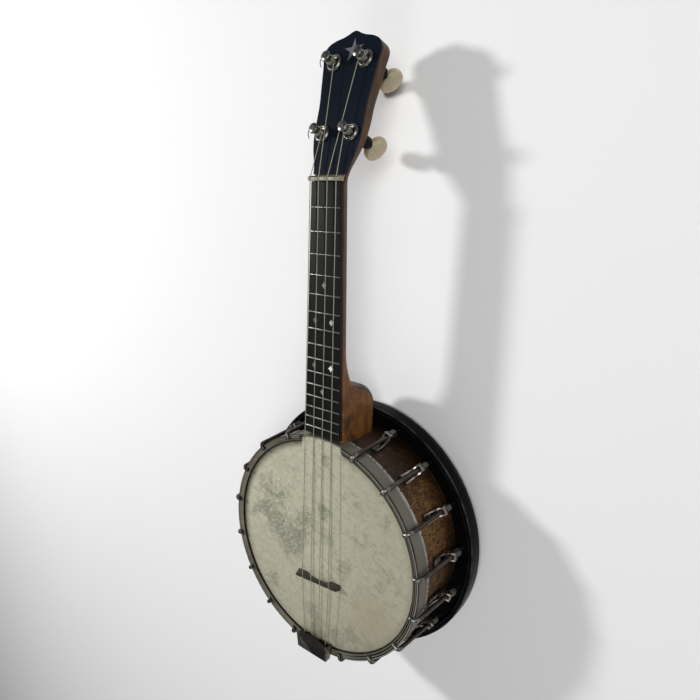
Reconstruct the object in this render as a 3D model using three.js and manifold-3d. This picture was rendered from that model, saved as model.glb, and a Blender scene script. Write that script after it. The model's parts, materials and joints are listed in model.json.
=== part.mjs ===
import * as THREE from 'three';
import { mergeVertices } from 'three/addons/utils/BufferGeometryUtils.js';
import Module from 'manifold-3d';

// Banjo ukulele, lying on the flat back of its resonator.
// Millimetres, +Z up and square to the drumhead, +Y from the pot along the neck to the peghead.
// The origin is the middle of the flat back.

const wasm = await Module();
wasm.setup();

// Scale and strings
const scaleLength = 343;
const bridgeCompensation = 0.5;
const stringRadius = 0.4;
const stringCount = 4;
const stringEdgeMargin = 1.6;
const stringRiseNut = 3;
const stringTurns = 2;
const stringTurnSteps = 24;
const stringSides = 6;
const windingPitch = 1.45;

// Clearances
const seam = 0.3;
const cutOverrun = 2;

// Rim, the size that the rest of the pot follows
const rimOuterRadius = 101.4;
const rimWall = 9.9;
const rimHeight = 63.5;
const rimShoulder = 2.3;
const ringSegments = 64;

// Resonator
const resonatorMargin = 19.1;
const resonatorWall = 4.4;
const resonatorWallDraft = 1.2;
const resonatorFloor = 6;
const resonatorSeatStep = 7.5;
const resonatorSeatWidth = 13.4;
const resonatorLipStep = 7;
const resonatorSideBottom = 8.6;
const resonatorFlatShare = 0.6;
const resonatorDomeRise = 3.4;
const resonatorEdgeRadius = 5.6;
const resonatorEdgeRounding = 1.2;

// Drumhead, flesh hoop and tension hoop
const headThickness = 0.5;
const headSideGap = 0.4;
const headShoulder = 2.8;
const hoopGap = 0.5;
const bandThickness = 1.6;
const bandHeight = 14.5;
const beadWidth = 6.4;
const beadHeight = 2.6;
const beadLift = 0.7;
const beadRounding = 0.8;
const boardNotchMargin = 4.2;
const fleshHoopWidth = 2.4;
const fleshHoopHeight = 2.6;

// Hooks and nuts
const hookCount = 16;
const hookPitchDegrees = 20.5;
const hookRadius = 1.9;
const hookBendInside = 1.3;
const hookReach = 6.8;
const hookLean = 4.2;
const hookNotchClearance = 0.45;
const hookNotchDepth = 1.6;
const hookSides = 8;
const threadDepth = 0.2;
const threadLength = 16;
const nutRadius = 3.9;
const nutLength = 7.6;

// Shoes
const shoeHeightShare = 0.318;
const shoeLength = 20;
const shoeMouthWidth = 8.8;
const shoeWall = 1.6;
const shoeEndWall = 3.6;
const shoeContactStart = 10.5;
const shoeSeatInner = 3.8;
const shoeEndMargin = 0.85;
const shoeTip = 2.4;
const shoeSideClearance = 0.35;
const shoeHoleClearance = 0.55;

// Fingerboard, frets and nut
const boardThickness = 3.8;
const boardDrop = 0.3;
const boardHalfWidthNut = 14.4;
const boardTaperShare = 0.0216;
const boardEndGap = 1.4;
const fretHalfWidth = 0.9;
const fretHeight = 0.9;
const fretInset = 0.3;
const fretsPerOctave = 12;
const lastFretMargin = 4;
const nutThickness = 3.5;
const nutOverhang = 0.6;
const nutRise = 0.3;
const slotClearance = 0.32;

// Neck and heel
const neckDepthNut = 12;
const neckDepthHeel = 12.6;
const heelBottomRise = 11;
const heelHalfWidthBottom = 16.8;
const heelFlatLength = 24;
const heelRoundLength = 23.5;
const heelCuspDrop = 10.4;
const heelSweepLength = 30;
const heelSocketDepth = 14;

// Peghead
const pegheadTiltDegrees = 15;
const pegheadThickness = 12;
const pegheadThicknessAtNut = 9;
const pegheadThinLength = 70;
const overlayThickness = 1.5;
const pegheadLength = 108.8;
const pegheadHalfWidth = 27.3;

// Pegs
const upperPegOffsetShare = 0.546;
const upperPegDistanceShare = 0.79;
const lowerPegOffsetShare = 0.509;
const lowerPegDistanceShare = 0.297;
const buttonReach = 21.5;
const pegRadius = 3.1;
const pegFootHeight = 1.2;
const pegWaistDepth = 0.6;
const pegWindingMargin = 0.5;
const pegCapOverhang = 1.6;
const pegCapHeight = 1.9;
const pegCapTaper = 1;
const pegHoleRadius = 0.7;
const pegCollarRadius = 5.6;
const pegCollarGap = 0.8;
const pegCollarRounding = 1.8;
const pegStemStep = 0.5;
const pegSides = 14;
const bushingWall = 1.5;
const bushingFlange = 1.8;
const bushingHeight = 2.5;
const buttonWidth = 20.4;
const buttonHeight = 18;
const buttonThickness = 7;
const buttonRounding = 2.6;
const buttonBore = 7;

// Bridge
const bridgePlaceShare = 0.3215;
const bridgeLength = 49.6;
const bridgeFootLength = 10.6;
const bridgeHeight = 6.2;
const bridgeBeam = 3;
const bridgeBaseThickness = 5.4;
const bridgeTopThickness = 2;
const bridgeStringMargin = 9.35;
const bridgeSkewDegrees = 4.5;
const bridgeEndSlope = 1.3;

// Tailpiece
const tailPlateRise = 6.6;
const tailPlateThickness = 1.4;
const tailHoodLength = 18.2;
const tailCornerSetback = 4.9;
const tailHalfWidthFront = 19;
const tailHalfWidthBack = 17;
const tailHoodDepth = 6;
const tailBorder = 2.6;
const tailPanelDepth = 0.7;
const tailStrapWidth = 14;
const tailStrapGap = 0.9;
const tailStrapJog = 5;
const tailCombHeight = 5;
const tailCombThickness = 1.4;
const tailCombSetback = 5;
const tailStringMargin = 4.7;
const tailStringDrop = 0.8;
const tailStringEnd = 2.6;
const tailBoltRadius = 2.2;
const tailBoltHeadRadius = 4.2;
const tailBoltHeadHeight = 3;
const tailBoltDepth = 11;

// Dowel stick
const dowelHeightShare = 0.479;
const dowelWidthNeck = 22;
const dowelWidthTail = 16;
const braceMargin = 4.5;
const braceThickness = 3;
const resonatorPostRadius = 6;
const resonatorPinRadius = 2.6;
const resonatorPinDepth = 3;

// Radii and heights of the pot
const rimInnerRadius = rimOuterRadius - rimWall;
const resonatorRadius = rimOuterRadius + resonatorMargin;
const resonatorBackRadius = resonatorFlatShare * resonatorRadius;
const resonatorSeatInnerRadius = rimOuterRadius - resonatorSeatWidth;
const resonatorSeatHeight = resonatorFloor + resonatorSeatStep;
const resonatorLipHeight = resonatorSeatHeight + resonatorLipStep;
const rimBottom = resonatorSeatHeight + seam;
const rimTop = rimBottom + rimHeight;
const headTop = rimTop + seam + headThickness;
const headInnerRadius = rimOuterRadius + headSideGap;
const headOuterRadius = headInnerRadius + headThickness;
const beadBottom = headTop + beadLift;
const beadTop = beadBottom + beadHeight;
const bandBottom = beadTop - bandHeight;
const bandInnerRadius = headOuterRadius + hoopGap;
const bandOuterRadius = bandInnerRadius + bandThickness;
const fleshHoopTop = bandBottom - seam;
const fleshHoopBottom = fleshHoopTop - fleshHoopHeight;
const dowelZ = rimBottom + dowelHeightShare * rimHeight;

// Hooks and shoes, in the plane through the pot's axis
const hookBendRadius = hookRadius + hookBendInside;
const hookNotchFloor = beadTop - hookNotchDepth;
const hookAxisHeight = hookNotchFloor + seam + hookRadius;
const hookLegRadius = bandOuterRadius + seam + hookRadius;
const hookLegTopZ = hookAxisHeight - hookBendRadius;
const shoeBase = rimOuterRadius + seam;
const shoeBottom = rimBottom + shoeHeightShare * rimHeight;
const shoeTop = shoeBottom + shoeLength;
const threadEndHeight = shoeBottom - threadLength;
const hookRadiusAt = (height) => {
  const share = (hookLegTopZ - height) / (hookLegTopZ - threadEndHeight);
  return hookLegRadius + hookLean * share;
};
const shoeHoleRadius = hookRadius + shoeHoleClearance;
const shoeReach = hookRadiusAt(shoeBottom) + shoeHoleRadius + shoeEndMargin - shoeBase;
const shoeFootSlot = 2 * (hookRadius + shoeSideClearance);

// Neck, strings and bridge
const boardTop = headTop - boardDrop;
const boardBottom = boardTop - boardThickness;
const neckTop = boardBottom - seam;
const heelDepth = neckTop - rimBottom - heelBottomRise;
const bridgeY = -bridgePlaceShare * rimOuterRadius;
const nutFrontY = bridgeY + scaleLength + bridgeCompensation;
const nutBackY = nutFrontY + nutThickness;
const nutHalfWidth = boardHalfWidthNut + nutOverhang;
const boardEndY = bandOuterRadius + boardEndGap;
const stringZNut = boardTop + stringRiseNut;
const bridgeTop = headTop + bridgeHeight;
const stringZBridge = bridgeTop - nutRise;
const stringSlotHalfWidth = stringRadius + slotClearance;
const spreadOver = (halfWidth, margin) => 2 * (halfWidth - margin) / (stringCount - 1);
const stringSpacingNut = spreadOver(boardHalfWidthNut, stringEdgeMargin);
const stringSpacingBridge = spreadOver(bridgeLength / 2, bridgeStringMargin);
const stringSpacingTail = spreadOver(tailHalfWidthBack, tailStringMargin);
const bridgeSkew = THREE.MathUtils.degToRad(bridgeSkewDegrees);

// Tailpiece
const tailPlateHeight = beadTop + tailPlateRise;
const strapInner = bandOuterRadius + tailStrapGap;
const tailBackReach = strapInner + tailPlateThickness;
const tailFrontReach = tailBackReach - tailHoodLength;
const tailCornerReach = tailFrontReach + tailCornerSetback;
const combFront = tailCornerReach + tailCombSetback - tailCombThickness;

// Pegs, along the axis that is square to the face of the peghead
const pegheadTilt = THREE.MathUtils.degToRad(pegheadTiltDegrees);
const pegheadDepthAt = (distance) => THREE.MathUtils.lerp(
  pegheadThicknessAtNut,
  pegheadThickness,
  Math.min(distance / pegheadThinLength, 1),
);
const bushingSleeveRadius = pegRadius + seam + bushingWall;
const bushingRadius = bushingSleeveRadius + bushingFlange;
const pegWaistRadius = pegRadius - pegWaistDepth;
const pegStemRadius = pegRadius - pegStemStep;
const pegCapRadius = pegWaistRadius + pegCapOverhang;
const pegWaistBottom = bushingHeight + pegFootHeight;
const windingStart = pegWaistBottom + pegWindingMargin + stringRadius;
const windingEnd = windingStart + stringTurns * windingPitch;
const pegWaistTop = windingEnd + stringRadius + pegWindingMargin + 2 * pegHoleRadius;
const pegHeight = pegWaistTop + pegCapTaper + pegCapHeight;

// Materials
const finish = (color, roughness, metalness) => new THREE.MeshStandardMaterial({
  color,
  roughness,
  metalness,
});
const walnut = () => finish(0x503723, 0.45, 0);
const mahogany = () => finish(0x5a3e2d, 0.42, 0);
const blackLacquer = () => finish(0x0c0c0f, 0.16, 0);
const ebonized = () => finish(0x17151a, 0.5, 0);
const pegheadVeneer = () => finish(0x141820, 0.3, 0);
const calfskin = () => finish(0xafaa96, 0.75, 0);
const agedNickel = () => finish(0x6b6557, 0.38, 0.9);
const brightNickel = () => finish(0xa8a69e, 0.26, 0.95);
const bone = () => finish(0xd8cba8, 0.5, 0);
const maple = () => finish(0x6a4a30, 0.5, 0);
const pearloid = () => finish(0xa0967d, 0.3, 0);
const nylon = () => finish(0xd9d6cc, 0.35, 0);
const fleshHoopMetal = () => finish(0x8f8a7c, 0.42, 0.8);

// Makes a closed solid of a geometry: seams welded, collapsed faces dropped, faces turned outwards.
function solidOf(geometry) {
  const bare = new THREE.BufferGeometry();
  bare.setAttribute('position', geometry.getAttribute('position'));
  bare.setIndex(geometry.getIndex());
  const welded = mergeVertices(bare);
  const position = welded.getAttribute('position');
  const corner = (index) => new THREE.Vector3().fromBufferAttribute(position, index);
  const source = welded.getIndex().array;
  const faces = [];
  let volume = 0;
  for (let i = 0; i < source.length; i += 3) {
    const [a, b, c] = [source[i], source[i + 1], source[i + 2]];
    if (a === b || b === c || c === a) continue;
    faces.push([a, b, c]);
    volume += corner(a).dot(corner(b).cross(corner(c)));
  }
  const turned = volume < 0 ? faces.map(([a, b, c]) => [a, c, b]) : faces;
  return new wasm.Manifold(new wasm.Mesh({
    numProp: 3,
    vertProperties: new Float32Array(position.array),
    triVerts: new Uint32Array(turned.flat()),
  }));
}

function geometryOf(solid) {
  const mesh = solid.getMesh();
  const geometry = new THREE.BufferGeometry();
  geometry.setAttribute('position', new THREE.BufferAttribute(new Float32Array(mesh.vertProperties), 3));
  geometry.setIndex(new THREE.BufferAttribute(new Uint32Array(mesh.triVerts), 1));
  geometry.computeVertexNormals();
  return geometry;
}

function piece(name, solid, material) {
  const mesh = new THREE.Mesh(geometryOf(solid), material);
  mesh.name = name;
  return mesh;
}

// A body of revolution about Z, from a profile of [radius, height] pairs.
function turned(profile, segments = ringSegments) {
  const points = profile.map(([radius, height]) => new THREE.Vector2(radius, height));
  const [first] = points;
  if (first.x > 0) points.push(first.clone());
  return solidOf(new THREE.LatheGeometry(points, segments).rotateX(Math.PI / 2));
}

// A flat outline in X and Y, raised from one height to another.
function plate(shape, bottom, top, curveSegments = 8) {
  const depth = top - bottom;
  const geometry = new THREE.ExtrudeGeometry(shape, { depth, bevelEnabled: false, curveSegments });
  return solidOf(geometry.translate(0, 0, bottom));
}

// A profile of [y, z] pairs or a shape in Y and Z, extruded across X and centred on it.
const acrossX = new THREE.Matrix4().set(0, 0, 1, 0, 1, 0, 0, 0, 0, 1, 0, 0, 0, 0, 0, 1);
function sideProfile(profile, width, curveSegments = 6) {
  const shape = profile instanceof THREE.Shape ? profile : outline(profile);
  const geometry = new THREE.ExtrudeGeometry(shape, { depth: width, bevelEnabled: false, curveSegments });
  return solidOf(geometry.translate(0, 0, -width / 2).applyMatrix4(acrossX));
}

function outline(points) {
  return new THREE.Shape(points.map(([x, y]) => new THREE.Vector2(x, y)));
}

function block(width, depth, height, x, y, z) {
  return solidOf(new THREE.BoxGeometry(width, depth, height).translate(x, y, z));
}

// A rod between two heights of Z, or along Y where alongY is true.
function rod(radius, start, end, sides, alongY = false) {
  const geometry = new THREE.CylinderGeometry(radius, radius, end - start, sides);
  if (!alongY) geometry.rotateX(Math.PI / 2);
  const middle = (start + end) / 2;
  return solidOf(alongY ? geometry.translate(0, middle, 0) : geometry.translate(0, 0, middle));
}

// A solid skinned over sections that have the same number of corners.
function loft(sections) {
  const around = sections[0].length;
  const positions = sections.flat().flatMap((point) => [point.x, point.y, point.z]);
  const faces = [];
  for (let s = 0; s < sections.length - 1; s += 1) {
    for (let i = 0; i < around; i += 1) {
      const a = s * around + i;
      const b = s * around + ((i + 1) % around);
      faces.push(a, b, b + around, a, b + around, a + around);
    }
  }
  const last = (sections.length - 1) * around;
  for (let i = 1; i < around - 1; i += 1) {
    faces.push(0, i + 1, i, last, last + i, last + i + 1);
  }
  const geometry = new THREE.BufferGeometry();
  geometry.setAttribute('position', new THREE.BufferAttribute(new Float32Array(positions), 3));
  geometry.setIndex(faces);
  return solidOf(geometry);
}

// A path whose steps fall on its own points, with each section square to the bend there.
class Route extends THREE.Curve {
  constructor(points) {
    super();
    this.points = points;
  }

  getPoint(t, target = new THREE.Vector3()) {
    const place = t * (this.points.length - 1);
    const from = Math.min(Math.floor(place), this.points.length - 2);
    return target.lerpVectors(this.points[from], this.points[from + 1], place - from);
  }

  getPointAt(u, target) {
    return this.getPoint(u, target);
  }

  getTangent(t, target = new THREE.Vector3()) {
    const at = Math.round(t * (this.points.length - 1));
    const before = this.points[Math.max(at - 1, 0)];
    const here = this.points[at];
    const after = this.points[Math.min(at + 1, this.points.length - 1)];
    const arriving = new THREE.Vector3().subVectors(here, before).normalize();
    const leaving = new THREE.Vector3().subVectors(after, here).normalize();
    return target.addVectors(arriving, leaving).normalize();
  }

  getTangentAt(u, target) {
    return this.getTangent(u, target);
  }
}

function tube(points, radius, sides) {
  const corners = [];
  for (let i = 0; i < sides; i += 1) {
    const angle = (i + 0.5) * 2 * Math.PI / sides;
    corners.push([radius * Math.cos(angle), radius * Math.sin(angle)]);
  }
  const steps = points.length - 1;
  return solidOf(new THREE.ExtrudeGeometry(outline(corners), { steps, extrudePath: new Route(points) }));
}

const lerp = THREE.MathUtils.lerp;
const arcPoints = (centreX, centreY, radius, from, to, steps) => {
  const points = [];
  for (let i = 0; i <= steps; i += 1) {
    const angle = lerp(from, to, i / steps);
    points.push([centreX + radius * Math.cos(angle), centreY + radius * Math.sin(angle)]);
  }
  return points;
};

// Resonator: a dish with a flat back, a shallow dome out to a rounded edge, and a seat for the rim.
const domeShares = [0.35, 0.7, 1];
const edgeShares = [0.3, 0.6, 0.85];
function makeResonator() {
  const lip = resonatorRadius - resonatorWall;
  const seatEdge = lip - resonatorWallDraft;
  const edgeStart = resonatorRadius - resonatorEdgeRadius;
  const dome = domeShares.map((share) => [
    lerp(resonatorBackRadius, edgeStart, share),
    resonatorDomeRise * share * share,
  ]);
  const edge = edgeShares.map((share) => [
    edgeStart + resonatorEdgeRadius * Math.sin(share * Math.PI / 2),
    lerp(resonatorSideBottom, resonatorDomeRise, Math.cos(share * Math.PI / 2)),
  ]);
  const dish = turned([
    [0, 0],
    [resonatorBackRadius, 0],
    ...dome,
    ...edge,
    [resonatorRadius, resonatorSideBottom],
    [resonatorRadius, resonatorLipHeight - resonatorEdgeRounding],
    [resonatorRadius - resonatorEdgeRounding, resonatorLipHeight],
    [lip, resonatorLipHeight],
    [seatEdge, resonatorSeatHeight],
    [resonatorSeatInnerRadius, resonatorSeatHeight],
    [resonatorSeatInnerRadius - resonatorWallDraft, resonatorFloor],
    [0, resonatorFloor],
  ]);
  const pinBottom = resonatorFloor - resonatorPinDepth;
  return dish.subtract(rod(resonatorPinRadius + seam, pinBottom, resonatorFloor + cutOverrun, 12));
}

// Rim: the wooden shell, with a square mortise for the dowel stick and a hole for the tailpiece bolt.
function makeRim() {
  const shell = turned([
    [rimInnerRadius, rimBottom],
    [rimOuterRadius, rimBottom],
    [rimOuterRadius, rimTop - rimShoulder],
    [rimOuterRadius - rimShoulder / 3, rimTop - rimShoulder / 3],
    [rimOuterRadius - rimShoulder, rimTop],
    [rimInnerRadius, rimTop],
  ]);
  const mortiseWidth = dowelWidthNeck + 2 * seam;
  const mortiseMiddle = (rimInnerRadius + rimOuterRadius) / 2;
  const mortiseLength = rimOuterRadius - rimInnerRadius + 4 * cutOverrun;
  const mortise = block(mortiseWidth, mortiseLength, mortiseWidth, 0, mortiseMiddle, dowelZ);
  const holeStart = -rimOuterRadius - cutOverrun;
  const hole = rod(tailBoltRadius + seam, holeStart, -rimInnerRadius + cutOverrun, 12, true);
  return shell.subtract(mortise).subtract(hole.translate([0, 0, dowelZ]));
}

// Drumhead: a thin skin over the rim, with a rounded shoulder and a collar down to the flesh hoop.
function makeDrumhead() {
  const shoulder = (outer) => [0, 1, 2, 3].map((step) => {
    const angle = step * Math.PI / 6;
    const size = outer ? headShoulder : headShoulder - headThickness;
    return [
      headOuterRadius - headShoulder + size * Math.sin(angle),
      headTop - headShoulder + size * Math.cos(angle),
    ];
  });
  return turned([
    [0, headTop],
    ...shoulder(true),
    [headOuterRadius, bandBottom],
    [headInnerRadius, bandBottom],
    ...shoulder(false).reverse(),
    [0, headTop - headThickness],
  ]);
}

function makeFleshHoop() {
  const outer = headInnerRadius + fleshHoopWidth;
  const round = fleshHoopHeight / 4;
  return turned([
    [headInnerRadius, fleshHoopBottom],
    [outer - round, fleshHoopBottom],
    [outer, fleshHoopBottom + round],
    [outer, fleshHoopTop - round],
    [outer - round, fleshHoopTop],
    [headInnerRadius, fleshHoopTop],
  ]);
}

// Hooks and shoes are made on the +Y side and turned to their places round the pot.
const hookAngles = [];
for (let k = 1; k <= hookCount / 2; k += 1) {
  hookAngles.push({ name: `right_${k}`, degrees: -k * hookPitchDegrees });
  hookAngles.push({ name: `left_${k}`, degrees: k * hookPitchDegrees });
}

// Tension hoop: a deep band outside the skin and a bead turned in over it, with one notch for the board's
// end and a notch with a bevelled lip for each hook.
function makeTensionHoop() {
  const beadInner = bandOuterRadius - beadWidth;
  const hoop = turned([
    [bandInnerRadius, bandBottom],
    [bandOuterRadius, bandBottom],
    [bandOuterRadius, beadTop - beadRounding],
    [bandOuterRadius - beadRounding, beadTop],
    [beadInner + beadRounding, beadTop],
    [beadInner, beadTop - beadRounding],
    [beadInner, beadBottom],
    [bandInnerRadius, beadBottom],
  ]);
  const bevel = hookBendRadius - hookRadius - seam;
  const bendCentre = hookLegRadius - hookBendRadius;
  const bendHeight = hookAxisHeight - hookBendRadius;
  const notch = sideProfile([
    [beadInner - cutOverrun, hookNotchFloor],
    [bendCentre, bendHeight + bevel],
    [bendCentre + bevel, bendHeight],
    [bandOuterRadius + cutOverrun, bendHeight],
    [bandOuterRadius + cutOverrun, beadTop + cutOverrun],
    [beadInner - cutOverrun, beadTop + cutOverrun],
  ], 2 * (hookRadius + hookNotchClearance));
  const boardNotchBottom = headTop + seam / 2;
  const boardNotch = block(
    2 * (boardHalfWidthAt(boardEndY) + boardNotchMargin),
    bandOuterRadius,
    beadTop - boardNotchBottom + cutOverrun,
    0,
    bandOuterRadius,
    (beadTop + boardNotchBottom + cutOverrun) / 2,
  );
  return hookAngles.reduce(
    (cut, { degrees }) => cut.subtract(notch.rotate([0, 0, degrees])),
    hoop.subtract(boardNotch),
  );
}

// Hook: bent over the bead, down the outside with a slight lean, through its shoe to a hexagonal nut.
function makeHook() {
  const bend = arcPoints(hookLegRadius - hookBendRadius, hookLegTopZ, hookBendRadius, Math.PI / 2, 0, 4);
  const nutTop = shoeBottom - seam;
  const nutBottom = nutTop - nutLength;
  const nutMiddle = (nutTop + nutBottom) / 2;
  const path = [[hookLegRadius - hookReach, hookAxisHeight], ...bend, [hookRadiusAt(nutMiddle), nutMiddle]];
  const shank = tube(path.map(([y, z]) => new THREE.Vector3(0, y, z)), hookRadius, hookSides);
  const lean = THREE.MathUtils.radToDeg(Math.atan2(hookLean, hookLegTopZ - threadEndHeight));
  const nut = rod(nutRadius, -nutLength / 2, nutLength / 2, 6);
  const thread = rod(hookRadius - threadDepth, threadEndHeight - nutMiddle, 0, hookSides);
  const foot = nut.add(thread).rotate([lean, 0, 0]).translate([0, hookRadiusAt(nutMiddle), nutMiddle]);
  return shank.add(foot);
}

// Flat sides over the shoe's height, from its foot to its wider mouth, from one radius to another.
function shoeSides(footWidth, mouthWidth, bottom, inner, outer) {
  const front = outline([
    [-footWidth / 2, bottom],
    [footWidth / 2, bottom],
    [mouthWidth / 2, shoeTop],
    [-mouthWidth / 2, shoeTop],
  ]);
  return plate(front, -outer, -inner).rotate([90, 0, 0]);
}

// Shoe: a bracket that leaves the rim in a curve, whose two cheeks spread towards the hoop and sweep out
// to an end wall that the hook passes through.
const cheekCurveOutShare = 0.04;
const cheekCurveUpShare = 0.22;
const shoeFootMargin = 1.3;
function makeShoe() {
  const reach = shoeBase + shoeReach;
  const tip = shoeBase + shoeTip;
  const cheek = new THREE.Shape();
  cheek.moveTo(shoeBase, shoeBottom + shoeContactStart);
  cheek.quadraticCurveTo(shoeBase, shoeBottom, shoeBase + shoeSeatInner, shoeBottom);
  cheek.lineTo(reach, shoeBottom);
  cheek.lineTo(reach, shoeBottom + shoeEndWall);
  const curveY = lerp(tip, reach, cheekCurveOutShare);
  cheek.quadraticCurveTo(curveY, lerp(shoeBottom, shoeTop, cheekCurveUpShare), tip, shoeTop);
  cheek.lineTo(shoeBase, shoeTop);
  const footWidth = shoeFootSlot + 2 * shoeFootMargin;
  const sides = shoeSides(footWidth, shoeMouthWidth, shoeBottom, shoeBase, reach);
  const body = sideProfile(cheek, shoeMouthWidth, 4).intersect(sides);
  const channel = shoeSides(
    shoeFootSlot,
    shoeMouthWidth - 2 * shoeWall,
    shoeBottom + shoeEndWall,
    shoeBase + shoeWall,
    reach + cutOverrun,
  );
  const holeMiddle = shoeBottom + shoeEndWall / 2;
  const hole = rod(shoeHoleRadius, -shoeEndWall, shoeEndWall, 10);
  const holePlace = [0, hookRadiusAt(holeMiddle), holeMiddle];
  return body.subtract(channel).subtract(hole.translate(holePlace));
}

const boardHalfWidthAt = (y) => boardHalfWidthNut + boardTaperShare * (nutFrontY - y);
const fretY = (k) => nutFrontY - scaleLength * (1 - 2 ** (-k / fretsPerOctave));

// Fingerboard: a tapered plank with a half-round fret let in at each semitone.
function makeFingerboard() {
  const plank = plate(outline([
    [-boardHalfWidthAt(boardEndY), boardEndY],
    [boardHalfWidthAt(boardEndY), boardEndY],
    [boardHalfWidthNut, nutFrontY - seam],
    [-boardHalfWidthNut, nutFrontY - seam],
  ]), boardBottom, boardTop);
  let board = plank;
  for (let k = 1; fretY(k) > boardEndY + lastFretMargin; k += 1) {
    const y = fretY(k);
    const crown = [
      [y - fretHalfWidth, boardTop - fretInset],
      [y + fretHalfWidth, boardTop - fretInset],
      [y + fretHalfWidth, boardTop],
      [y + fretHalfWidth / 2, boardTop + fretHeight],
      [y - fretHalfWidth / 2, boardTop + fretHeight],
      [y - fretHalfWidth, boardTop],
    ];
    board = board.add(sideProfile(crown, 2 * (boardHalfWidthAt(y) - fretInset)));
  }
  return board;
}

const stringX = (index, spacing) => (index - (stringCount - 1) / 2) * spacing;
const stringIndices = Array.from({ length: stringCount }, (_, index) => index);

function makeNut() {
  const top = stringZNut + nutRise;
  const middleY = (nutFrontY + nutBackY) / 2;
  const body = sideProfile([
    [nutFrontY, boardBottom],
    [nutBackY, boardBottom],
    [nutBackY, top - nutThickness / 3],
    [nutBackY - nutThickness / 3, top],
    [nutFrontY, top],
  ], 2 * nutHalfWidth);
  const slotBottom = stringZNut - stringRadius - seam;
  const slotHeight = top - slotBottom + cutOverrun;
  const slotMiddle = slotBottom + slotHeight / 2;
  const slotLength = nutThickness + cutOverrun;
  return stringIndices.reduce((cut, index) => {
    const x = stringX(index, stringSpacingNut);
    return cut.subtract(block(2 * stringSlotHalfWidth, slotLength, slotHeight, x, middleY, slotMiddle));
  }, body);
}

// Bridge: two feet joined by an arched beam, thinner at the top, set slightly askew.
const archShare = 0.85;
function makeBridge() {
  const half = bridgeLength / 2;
  const foot = half - bridgeFootLength;
  const underside = bridgeHeight - bridgeBeam;
  const front = new THREE.Shape();
  front.moveTo(-half, 0);
  front.lineTo(-foot, 0);
  front.quadraticCurveTo(-foot * archShare, underside, -foot / 2, underside);
  front.lineTo(foot / 2, underside);
  front.quadraticCurveTo(foot * archShare, underside, foot, 0);
  front.lineTo(half, 0);
  front.quadraticCurveTo(half - bridgeEndSlope, bridgeHeight / 2, half - bridgeEndSlope, bridgeHeight);
  front.lineTo(-half + bridgeEndSlope, bridgeHeight);
  front.quadraticCurveTo(-half + bridgeEndSlope, bridgeHeight / 2, -half, 0);
  const depth = bridgeBaseThickness + cutOverrun;
  const faceGeometry = new THREE.ExtrudeGeometry(front, { depth, bevelEnabled: false, curveSegments: 4 });
  const face = solidOf(faceGeometry.translate(0, 0, -depth / 2).rotateX(Math.PI / 2));
  const wedge = sideProfile([
    [-bridgeBaseThickness / 2, 0],
    [bridgeBaseThickness / 2, 0],
    [bridgeTopThickness / 2, bridgeHeight],
    [-bridgeTopThickness / 2, bridgeHeight],
  ], bridgeLength + cutOverrun);
  const slotBottom = stringZBridge - stringRadius - seam - headTop - seam;
  const slotHeight = bridgeHeight - slotBottom + cutOverrun;
  let body = face.intersect(wedge);
  for (const index of stringIndices) {
    const x = stringX(index, stringSpacingBridge) / Math.cos(bridgeSkew);
    const slotMiddle = slotBottom + slotHeight / 2;
    body = body.subtract(block(2 * stringSlotHalfWidth, depth, slotHeight, x, 0, slotMiddle));
  }
  return body.rotate([0, 0, bridgeSkewDegrees]).translate([0, bridgeY, headTop + seam]);
}

// A section across the neck or the peghead's throat: a flat top over a rounded back.
const backSteps = 14;
function woodSection(y, top, halfWidth, depth, fullness, bottomHalfWidth = halfWidth) {
  const points = [];
  for (let i = 0; i <= backSteps; i += 1) {
    const angle = i * Math.PI / backSteps;
    const across = Math.sign(Math.cos(angle)) * Math.abs(Math.cos(angle)) ** (2 / fullness);
    const down = Math.sin(angle) ** (2 / fullness);
    points.push(new THREE.Vector3(lerp(halfWidth, bottomHalfWidth, down) * across, y, top - depth * down));
  }
  return points;
}

const shaftFullness = 2.2;
const heelFullness = 12;
const heelFlatStart = rimOuterRadius + heelFlatLength;
const heelCuspY = heelFlatStart + heelRoundLength;
const heelCuspDepth = neckDepthHeel + heelCuspDrop;
const heelSweepStart = heelCuspY + heelSweepLength;
const shaftShares = [0, 0.33, 0.67];
const sweepShares = [0, 0.25, 0.5, 0.75, 0.9];
const roundShares = [0, 0.06, 0.14, 0.25, 0.4, 0.55, 0.7, 0.85, 1];
const sweepHeelShare = 0.3;
const heelSweepPower = 2.6;
const heelRoundPower = 1.7;

// Sections of the neck from the nut to the pot: an even shaft, a hollow sweep out to the heel's cusp, a
// rounded nose below it and a flat foot.
function neckSections() {
  const sections = [];
  const add = (y, depth, heelShare) => {
    const half = boardHalfWidthAt(Math.max(y, boardEndY));
    const fullness = lerp(shaftFullness, heelFullness, heelShare);
    const bottomHalf = lerp(half, heelHalfWidthBottom, heelShare);
    sections.push(woodSection(y, neckTop, half, depth, fullness, bottomHalf));
  };
  for (const share of shaftShares) {
    add(lerp(nutBackY, heelSweepStart, share), lerp(neckDepthNut, neckDepthHeel, share), 0);
  }
  for (const share of sweepShares) {
    const fall = 1 - (1 - share ** heelSweepPower) ** (1 / heelSweepPower);
    const y = lerp(heelSweepStart, heelCuspY, share);
    add(y, lerp(neckDepthHeel, heelCuspDepth, fall), share * share * sweepHeelShare);
  }
  for (const share of roundShares) {
    const rise = (1 - (1 - share) ** heelRoundPower) ** (1 / heelRoundPower);
    const y = lerp(heelCuspY, heelFlatStart, share);
    add(y, lerp(heelCuspDepth, heelDepth, rise), lerp(sweepHeelShare, 1, Math.sqrt(rise)));
  }
  add(rimInnerRadius, heelDepth, 1);
  return sections;
}

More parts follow.
